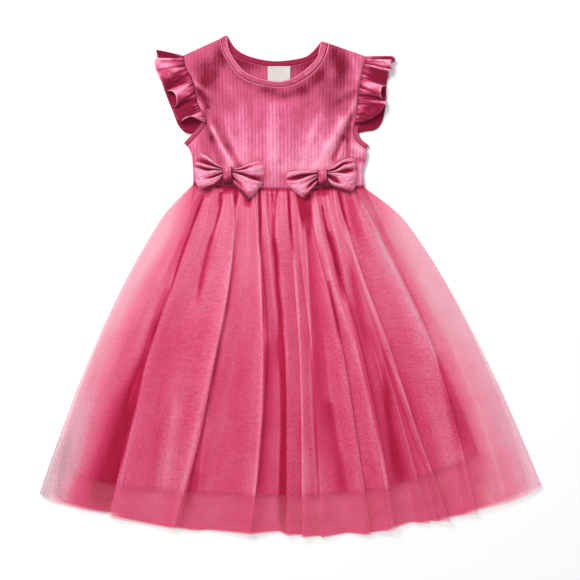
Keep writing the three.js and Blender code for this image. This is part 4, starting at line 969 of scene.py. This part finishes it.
def tulle_back_ply(name, ply):
    """One ply of the back, pressed flat: 0 is the outer one, on the floor."""
    rows = np.linspace(0, 1, 60)
    x, y, fold, u, shade, crest, _ = fold_grid(5.0, rows, 0.0, 1.0, 50 + ply)
    v = rows[:, None]
    shape = fold / np.maximum(fold.max(axis=1, keepdims=True), 0.1)
    if ply:
        x = inner_plan(x, v, 0.03)
    y = y + (1.2 + 1.1 * noise(61 + ply, u * 8, 0.7)) * v**2
    z = (0.15 if ply == 0 else 0.8) + 0.45 * shape + 0.12 * noise(63 + ply, u * 30, v * 2)
    grid = stacked(x, y, np.maximum(z, 0.05))
    side, _ = inside_lining(x, y)
    thin = lerp(0.17, 0.42, smoothstep(side, -22, 10))
    cover = 1 - (1 - thin) ** (gathered(v) * (1 + 0.5 * shape))
    uv = stacked(np.linspace(0, 1, grid.shape[1]) * HEM_CUT, v * SKIRT_CUT)
    # Painted shade where the crests shade the net beside them, and painted highlights on the crests.
    piece = add_sheet(name, grid, uv, tulle_outer if ply == 0 else tulle_inner,
                      {"cover": cover, "painted_shade_and_tone": 0.4 * shade - 0.2 * crest})
    return finish_piece(piece, "tulle", "skirt_tulle_back")


def lining_plan(across, down):
    table = np.array(LINING_SIDES, float)
    side = smooth_table(table[:, 0], table[:, 1:], down * LINING_LENGTH)
    x = lerp(side[:, :1], side[:, 1:], across[None, :])
    top = waist_y(lerp(WAIST_LEFT, WAIST_RIGHT, across))[None, :] - GAP
    hem = smooth_table([p[0] for p in LINING_HEM], [p[1] for p in LINING_HEM], x)
    return x, lerp(top, hem, down[:, None])


def lining_piece(name, node, front):
    a = np.linspace(0, 1, 181 if front else 61)[None, :]
    d = np.concatenate([np.linspace(0, 0.965, 50), [0.968, 0.971, 0.98, 0.99, 0.997, 1.0]])[:, None]
    x, y = lining_plan(a[0], d[:, 0])
    if front:
        wave = 0.5 - 0.5 * np.cos(2 * math.pi * (7 * a + 0.35 * noise(71, a * 6, d * 2)))
        z = LINING_FRONT_TOP + 1.1 * wave * smoothstep(d, 0.1, 0.5) - 0.15
        z = z + 0.3 * noise(72, a * 26, d * 3) * d
    else:
        z = LINING_BACK_FOOT + LINING - 0.1 + 0.05 * noise(73, a * 14, d * 3)
    hem_step = 0.22 * smoothstep(d, 0.966, 0.970)
    grid = stacked(x, y, z + hem_step)
    piece = add_shell(name, grid, grid - THIN_WALL, stacked(a * 512, d * 380), lining_cloth)
    return finish_piece(piece, "lining", node)


# Sleeve ruffles

# The free edge of each ruffle's front half, from the shoulder down: its place in the photograph's pixels,
# its height in mm, where it is rooted on the armhole (1 at the shoulder) and how much shade is painted there
# (negative for a painted highlight).

RUFFLE_FRONT = {
    "left": [
        (156.3, 50.2, 10, 1, 0.3), (157, 54, 6, 0.99, 0.9), (158.6, 58.2, 4.5, 0.975, 0.9),
        (157.5, 58.4, 9.5, 0.965, -0.3), (155, 61, 12, 0.95, -0.5), (155.2, 67, 12.5, 0.92, -0.35),
        (157.4, 73.5, 12.5, 0.88, -0.3), (160.4, 79.5, 11, 0.845, 0.1), (163.3, 85, 7, 0.81, 0.5),
        (164.5, 89, 2.5, 0.78, 1.1), (166.5, 91, 2.5, 0.75, 1.1), (168.2, 91, 7.5, 0.735, 0),
        (172.5, 91.6, 12, 0.71, -0.6), (176.2, 96, 13.5, 0.67, -0.4), (177, 101.5, 12, 0.635, 0),
        (175.6, 106.3, 7, 0.6, 0.4), (171, 105.6, 3, 0.575, 0.9), (168.4, 99.5, 1.6, 0.565, 1.2),
        (168.4, 95, 1.4, 0.555, 1.2), (170.4, 103, 1.6, 0.54, 0.8), (172.4, 109, 3, 0.515, 0.9),
        (175.2, 115, 4.5, 0.485, 1), (178, 120, 5.5, 0.45, 0.9), (181, 121.4, 7, 0.425, 0.5),
        (183.8, 119.2, 12, 0.4, -0.5), (188.2, 117, 13.5, 0.37, -0.6), (193, 117.2, 12.5, 0.345, -0.5),
        (198, 119.4, 9, 0.32, -0.3), (203.2, 121.8, 4.2, 0.295, 0),
    ],
    "right": [
        (393, 56.4, 9, 1, -0.3), (395.6, 59.6, 6, 0.99, 0.6), (393.6, 62.2, 4, 0.98, 0.9),
        (391, 60, 8.5, 0.97, -0.2), (390.6, 64, 11, 0.95, -0.5), (391.8, 68.6, 8, 0.93, 0.3),
        (389.4, 70.6, 10.5, 0.91, -0.4), (388, 72.6, 7, 0.9, 0.6), (388.8, 76, 3.5, 0.885, 1),
        (387.4, 79.6, 2, 0.85, 1), (386.3, 83.6, 2, 0.8, 0.9), (385.4, 86, 4.5, 0.775, 0.4),
        (382.6, 86.6, 11, 0.75, -0.6), (380.9, 90, 13, 0.71, -0.4), (380.6, 95, 11.5, 0.67, 0.1),
        (382.6, 98.4, 6, 0.64, 0.4), (385.4, 97.4, 2.5, 0.62, 0.8), (386.2, 92.5, 1.5, 0.61, 1.2),
        (386.2, 95.5, 1.4, 0.6, 1.2), (386.4, 100, 2, 0.58, 0.9), (386, 102.6, 7, 0.55, -0.1),
        (384.4, 106, 9, 0.52, 0.55), (381.4, 110.5, 9, 0.48, 0.7), (377, 115, 8.5, 0.445, 0.7),
        (371, 118.6, 8, 0.41, 0.6), (364.5, 120.8, 7, 0.375, 0.5), (359.4, 122.6, 4.2, 0.335, 0.5),
    ],
}
# The free edge of the flat back halves, from the underarm up to the shoulder, in the photograph's pixels.
RUFFLE_BACK = {
    "left": [(194.0, 131.0), (190.0, 133.4), (184.0, 131.4), (177.8, 124.2), (172.8, 111.6), (167.0, 97.4),
             (162.2, 84.0), (158.3, 66.0), (156.2, 50.4)],
    "right": [(356.6, 133.2), (365.7, 131.2), (376.2, 129.0), (382.2, 121.4), (385.2, 110.0), (386.4, 98.0),
              (386.6, 84.0), (390.0, 68.0), (393.4, 56.6)],
}


def thicken(piece, millimetres):
    solid = piece.modifiers.new("thickness", "SOLIDIFY")
    solid.thickness = millimetres * MM
    solid.offset = 0


def ruffle_piece(side):
    """The front half's lobes, then round the shoulder to the flat back half."""
    keys = np.array(RUFFLE_FRONT[side], float)
    at = np.linspace(0, len(keys) - 1, (len(keys) - 1) * 15 + 1)
    x, y, height, rooted, dark = smooth_table(np.arange(len(keys)), keys, at).T
    root, tip = arm_root(side, rooted), stacked(*from_pixels(x, y))
    reach, s = np.linspace(0, 1, 34)[:, None], np.linspace(0, 1, len(at))
    pleat = np.abs(np.sin(math.pi * (19 * s + 0.9 * noise(81, s * 11, reach * 0.8)))) ** 0.6
    near = np.exp(-reach * (2.4 + 1.6 * noise(82, s * 15, 0.4)))
    z = lerp(4.0, height, reach**0.85) + 1.3 * np.sin(math.pi * reach) + (pleat - 0.5) * 3.0 * near
    z = z + 0.5 * noise(83, s * 46, reach * 2.6) * smoothstep(reach, 0.1, 0.6) * smoothstep(height, 3, 9)
    z = np.maximum(z - 1.2 * np.exp(-reach * 26), 1.9)
    front = lifted(lerp(root, tip, reach[..., None]), z)[:, ::-1]
    # Painted shade from the table, between the pleats and at the root, and painted highlights on the pleat
    # tops.
    front_dark = 1.4 * dark * smoothstep(reach, 0.0, 0.5) + (2.3 - 2.7 * pleat) * near + np.exp(-reach * 22)
    # Painted highlight along the free edge, and uneven tone from the noise.
    front_dark = front_dark + 0.5 * noise(84, s * 40, reach * 3) - 0.8 * smoothstep(reach, 0.93, 0.97)
    # A little more painted shade on the left ruffle.
    front_dark = front_dark + (0.12 if side == "left" else 0)

    back_share = np.linspace(1, 0, 121)[1:]
    root = arm_root(side, lerp(0.22, 1.0, back_share))
    tip = Path(points=stacked(*from_pixels(*Path(RUFFLE_BACK[side]).points.T)))(back_share)
    z = 0.85 + 0.25 * np.sin(2 * math.pi * 16 * back_share) * (1 - 0.4 * reach)
    z = lerp(z, lerp(4.0, 10.0, reach) - 1.0, smoothstep(back_share, 0.965, 1.01))
    grid = np.concatenate([front, lifted(lerp(root, tip, reach[..., None]), z)], 1)
    # The back half lies in painted shade all over.
    painted_shade_and_tone = np.concatenate([front_dark[:, ::-1], np.full_like(z, 1.4)], 1)

    name = f"sleeve_ruffle_{side}"
    uv = stacked(np.linspace(0, 1, grid.shape[1]) * 400, reach * 40)
    piece = add_sheet(name + "_cloth", grid, uv, ruffle_cloth, {"painted_shade_and_tone": painted_shade_and_tone})
    thicken(piece, 0.6)
    return finish_piece(piece, "ruffle_cloth", name)


# Bows

BOWS = {"bow_left": (227.4, 174.4), "bow_right": (322.2, 177.2)}
# Each row is one line of a wing, from its top edge to its bottom edge: four points from the knot to the
# tip, each as x and y in the photograph's pixels and the height in mm. High and low lines take turns, as
# ridges and tucks.
BOW_WINGS = {
    ("bow_left", "left"): [
        (222.9, 168.2, 9.6, 216.2, 163, 9.6, 209.6, 157.4, 9.4, 204.2, 152.4, 9.2),
        (222.9, 168.7, 13.5, 215.8, 164, 15, 208.8, 158.6, 15, 201.6, 153.6, 12.5),
        (222.9, 169.2, 12.5, 215.5, 165.6, 12.6, 207.6, 161.4, 12.6, 199.6, 156.6, 11.5),
        (222.9, 169.6, 11.5, 215.2, 167.2, 10.6, 207, 164.2, 10.6, 198.2, 160.8, 10.5),
        (222.8, 170.2, 14.2, 215, 168.4, 15.8, 206.6, 166.8, 16.2, 196.8, 163.2, 13.5),
        (222.8, 170.8, 11.8, 214.8, 170, 10.6, 206.4, 169.8, 10.2, 195.8, 165.8, 10.4),
        (222.8, 171.8, 14.5, 214.6, 171.6, 16.4, 206, 173, 17.2, 195.6, 168.6, 13),
        (222.8, 172.8, 13.5, 214.4, 174, 14.8, 205, 176.6, 15.8, 195.8, 173.4, 12.8),
        (222.8, 173.8, 11.6, 214.2, 177.2, 11.6, 204.4, 179.2, 14, 196.2, 178.2, 12),
        (222.6, 175.2, 14.4, 214.2, 179, 16, 204.4, 182.6, 15.8, 197, 182.4, 12.2),
        (222.4, 177.4, 12.5, 214.8, 182.8, 14, 206.2, 186.6, 13.6, 199.6, 187.4, 11.6),
        (222.2, 179.8, 9.4, 216.2, 185.6, 9.4, 210.4, 189.6, 9.2, 205, 191.4, 9),
    ],
    ("bow_left", "right"): [
        (232.2, 168.8, 9.6, 240, 167.4, 9.6, 249, 163.2, 9.4, 257.2, 160.4, 9.2),
        (232.2, 169.4, 13.5, 240.4, 168.6, 15, 249.4, 164.6, 15.5, 259.8, 161.4, 12.5),
        (232.2, 170.2, 11.5, 240.8, 170.2, 10.8, 249.6, 167.4, 13, 261.8, 164, 12.8),
        (232.2, 171, 13.8, 241, 171.4, 15.6, 251, 170.6, 17, 262.6, 168, 13.5),
        (232.2, 171.8, 12.2, 241.4, 173, 12.6, 252, 175, 14.2, 262.8, 174.6, 12.6),
        (232.2, 172.6, 11, 241.6, 175, 9.8, 252, 179, 10.2, 261.8, 181.6, 10.2),
        (232.2, 173.4, 14.8, 241.4, 176.6, 17, 251.6, 180.8, 17.2, 261.8, 183.2, 14),
        (232.2, 175.4, 12.8, 240.6, 179.6, 14.6, 250, 185, 15.6, 258.6, 187.4, 13),
        (232.2, 177.8, 10.6, 239.4, 183.6, 12.2, 247, 189.6, 14.6, 254.6, 193, 12.4),
        (232.2, 179.6, 13, 237.8, 186, 12.8, 243.6, 192.2, 12.6, 250, 197.4, 11.2),
        (232, 181.6, 9.4, 236.4, 187.8, 9.4, 241, 193.4, 9.2, 246.8, 199.8, 9),
    ],
    ("bow_right", "left"): [
        (317.4, 171.4, 9.6, 309, 170.6, 9.6, 299, 170.4, 9.4, 290.4, 171.2, 9.2),
        (317.4, 172.2, 13.5, 309, 171.8, 15.4, 299.2, 171.8, 16.2, 288.6, 173.4, 13),
        (317.4, 173.2, 12.5, 308.8, 173.4, 13.6, 299, 174.2, 14.6, 287.8, 176.4, 12.6),
        (317.4, 174.2, 11, 308.4, 175.6, 9.8, 298.6, 178.6, 9.6, 288, 179.4, 11),
        (317.4, 175, 14.6, 308, 178.2, 16.6, 298.4, 181.6, 17.2, 287.8, 182.6, 14.2),
        (317.4, 176.2, 12, 308.2, 181.2, 12.8, 299.4, 184.8, 15.6, 289, 185.4, 13.2),
        (317.4, 177.6, 14.2, 309, 182.4, 15.8, 301, 188.4, 16.4, 292.4, 188.6, 13.2),
        (317.4, 179.2, 10.4, 311.2, 183.8, 10.6, 304.6, 190.4, 14.8, 297.2, 193, 12.6),
        (317.4, 181.4, 13.2, 312.8, 186.2, 14, 308, 192.2, 13.8, 302.4, 197, 11.8),
        (317.6, 184.2, 9.4, 313.8, 188.6, 9.4, 310.4, 193.8, 9.2, 306, 198.8, 9),
    ],
    ("bow_right", "right"): [
        (326.8, 170.2, 9.6, 334, 165.6, 9.6, 341, 160.6, 9.4, 348.6, 157.2, 9.2),
        (326.8, 170.8, 13.5, 334.4, 167, 15.6, 342, 162, 16.4, 352.2, 159, 13.4),
        (326.8, 171.6, 10.8, 335, 169.8, 9.8, 343.6, 164.4, 11, 353.8, 162.2, 12.4),
        (326.8, 172.2, 14, 335.4, 171.4, 15.6, 344.6, 167.2, 16.4, 354.8, 165.8, 13.4),
        (326.8, 172.8, 12, 335.6, 172.8, 12, 345, 171.8, 10.2, 355.2, 169.4, 12),
        (326.8, 173.6, 14.6, 335.4, 174.4, 16.6, 345, 176.2, 16.8, 355.6, 173.8, 13.6),
        (326.8, 174.8, 12, 335, 177.6, 12, 343.8, 182, 15, 355.6, 179.4, 13),
        (326.8, 176.2, 10.6, 333.8, 180.8, 10.4, 342.4, 184.4, 14.4, 354.6, 184.6, 12.6),
        (326.8, 178, 14.2, 332.6, 183.4, 15.4, 341.4, 187, 14.2, 353, 189.2, 12),
        (326.8, 180.4, 9.4, 331.8, 186, 9.4, 340, 190.6, 9.2, 348.6, 193.6, 9),
    ],
}


def wing_piece(bow, wing):
    """Half of a bow's body, lofted over its lines and closed at its tip."""
    rows = np.array(BOW_WINGS[bow, wing], float).reshape(-1, 4, 3)
    lines = np.linspace(0, len(rows) - 1, 97)
    outs = np.concatenate([np.linspace(0, 2.8, 56), [2.86, 2.91, 2.95, 2.98, 3]])
    across = smooth_table(np.arange(len(rows)), rows.reshape(len(rows), -1), lines).reshape(-1, 4, 3)
    loft = smooth_table(np.arange(4), across.transpose(1, 0, 2), outs)
    x, y = from_pixels(loft[..., 0], loft[..., 1])
    t, c = (outs / 3)[:, None], np.linspace(-1, 1, 97)
    smooth = smooth_table(np.arange(4), rows[..., 2].mean(axis=0), outs)[:, None]
    z = smooth + 1.05 * (loft[..., 2] - smooth) + 1.4 * np.sin(math.pi * np.clip(t, 0, 1)) * (1 - c**4)
    seed = 200 + 7 * len(bow) + 3 * len(wing)
    wrinkle = 0.55 * noise(seed, c * 11 + 12, t * 9) + 0.42 * noise(seed + 1, c * 22 + 27, t * 17)
    z = z + wrinkle * smoothstep(t, 0.05, 0.35)
    z = lerp(9.3, z, np.sqrt(np.clip(1 - smoothstep(t, 0.8, 1.02) ** 2, 0, 1)))
    away = 1.3 * smoothstep(t, 0.75, 1.0) * (1 if wing == "right" else -1)
    plan = stacked(x + away, y)
    # Painted shade in the tucks and painted highlights on the ridges.
    painted_shade_and_tone = np.clip((smooth - loft[..., 2]) * 0.7, -0.9, 1.9) * (1 - 0.5 * smoothstep(t, 0.6, 1))
    # More painted shade beside the knot, and lighter towards the tip.
    painted_shade_and_tone = painted_shade_and_tone * (np.abs(c) < 1) + 0.35 * (1 - smoothstep(t, 0, 0.3)) - 0.25 * smoothstep(t, 0.5, 0.95)
    piece = add_shell(f"{bow}_wing_{wing}", lifted(plan, np.clip(z, 9.2, 19.0)), lifted(plan, 8.9),
                      stacked(x + 200, y + 200), bow_cloth, {"painted_shade_and_tone": painted_shade_and_tone})
    finish_piece(piece, "bow_cloth", bow + "_body")


def knot_piece(bow):
    """A band wrapped round the bow's middle, drawn in at its waist and creased along."""
    centre_x, centre_y = from_pixels(*BOWS[bow])
    ring, along = np.linspace(0, 2 * math.pi, 73), np.linspace(-1, 1, 31)
    a, t = ring[None, :], along[:, None]
    wrinkle = 0.35 * np.sin(t * 7 + 0.8 * np.sin(a * 2)) + 0.3 * noise(101 + len(bow), a * 1.4 + 9, t * 3 + 5)
    half_w = (8.2 + 0.7 * t**2 + wrinkle) * (1 - 0.08 * (1 - t**2))
    half_h = 4.2 + 0.4 * t**2 + 0.5 * wrinkle
    cy = np.sign(np.cos(a)) * np.abs(np.cos(a)) ** 0.7 * half_w
    cz = np.sign(np.sin(a)) * np.abs(np.sin(a)) ** 0.7 * half_h
    x = t * (6.3 - 0.8 * np.abs(np.sin(a)) ** 2) + 0.3 * noise(105, a * 1.3 + 9, t + 3)
    grid = stacked(centre_x + x - 0.04 * cy, centre_y + cy + 0.04 * x, np.maximum(12.6 + cz, 7.2))
    # Painted shade on the knot's lower side, away from the light.
    low = np.clip(-cy / 8.2, 0, 1) ** 2
    # More painted shade at its ends, where it goes under the wings, and uneven tone.
    painted_shade_and_tone = np.abs(t) ** 8 * 0.5 + 0.8 * low + 0.45 * noise(107, t * 4 + 5, a * 1.1 + 9) - 0.15
    piece = add_sheet(bow + "_knot_cloth", grid, stacked(t * 6.2 + 30, a * 6), bow_cloth, {"painted_shade_and_tone": painted_shade_and_tone})
    thicken(piece, 0.9)
    return finish_piece(piece, "bow_cloth", bow + "_knot")


# The dress

bodice_front_piece()
bodice_back_piece()
binding_piece("neck_binding_front_cloth", "neck_binding_front", NECK_FRONT,
              lambda s: neck_height(s) - KNIT, KNIT + 0.6, 0.5, 2.0, 0.5)
binding_piece("neck_binding_back_cloth", "neck_binding_back", NECK_BACK,
              lambda s: 0 * s, KNIT, 0.3, 0.02, 1.5)
finish_piece(join_meshes("neck_coverstitch", neck_stitches(), thread), "rib_binding")
for side in ("left", "right"):
    for layer in ("front", "back"):
        arm_binding_piece(side, layer)
    ruffle_piece(side)
neck_label_piece()
tulle_front_ply("tulle_front_outer", 0)
tulle_front_ply("tulle_front_inner", 1)
tulle_back_ply("tulle_back_outer", 0)
tulle_back_ply("tulle_back_inner", 1)
lining_piece("lining_front_cloth", "skirt_lining_front", True)
lining_piece("lining_back_cloth", "skirt_lining_back", False)
for bow in BOWS:
    wing_piece(bow, "left")
    wing_piece(bow, "right")
    knot_piece(bow)

# Floor, light and camera

floor_mesh = bpy.data.meshes.new("floor")
floor_corners = [(4 * x, 4 * y, -0.0004) for x, y in ((-1, -1), (1, -1), (1, 1), (-1, 1))]
floor_mesh.from_pydata(floor_corners, [], [(0, 1, 2, 3)])
floor = bpy.data.objects.new("floor", floor_mesh)
bpy.context.scene.collection.objects.link(floor)
floor_look = Look("floor")
floor_look.shader.inputs["Base Color"].default_value = (0.93, 0.925, 0.925, 1)
floor_look.shader.inputs["Roughness"].default_value = 0.95
floor_mesh.materials.append(floor_look.material)

world = bpy.data.worlds.new("studio")
world.use_nodes = True
world.node_tree.nodes["Background"].inputs[0].default_value = (1.0, 0.99, 0.985, 1)
world.node_tree.nodes["Background"].inputs[1].default_value = 0.5
bpy.context.scene.world = world


def area_light(name, place, size, power):
    data = bpy.data.lights.new(name, "AREA")
    data.size = size
    data.energy = power
    lamp = bpy.data.objects.new(name, data)
    lamp.location = place
    aim = -np.array(place, float)
    flat = math.hypot(aim[0], aim[1])
    lamp.rotation_euler = (math.atan2(flat, -aim[2]), 0, math.atan2(aim[1], aim[0]) - math.pi / 2)
    bpy.context.scene.collection.objects.link(lamp)


area_light("key", (-0.95, 1.25, 1.5), 0.9, 41)
area_light("fill", (0.9, -0.6, 2.3), 1.6, 12)

camera_data = bpy.data.cameras.new("camera")
camera_data.lens = 100
camera_data.sensor_width = 36
camera = bpy.data.objects.new("camera", camera_data)
camera.location = (-0.00075, -0.00525, 2.0199)
bpy.context.scene.collection.objects.link(camera)
bpy.context.scene.camera = camera

scene = bpy.context.scene
scene.view_settings.view_transform = "Standard"
scene.cycles.transparent_max_bounces = 24
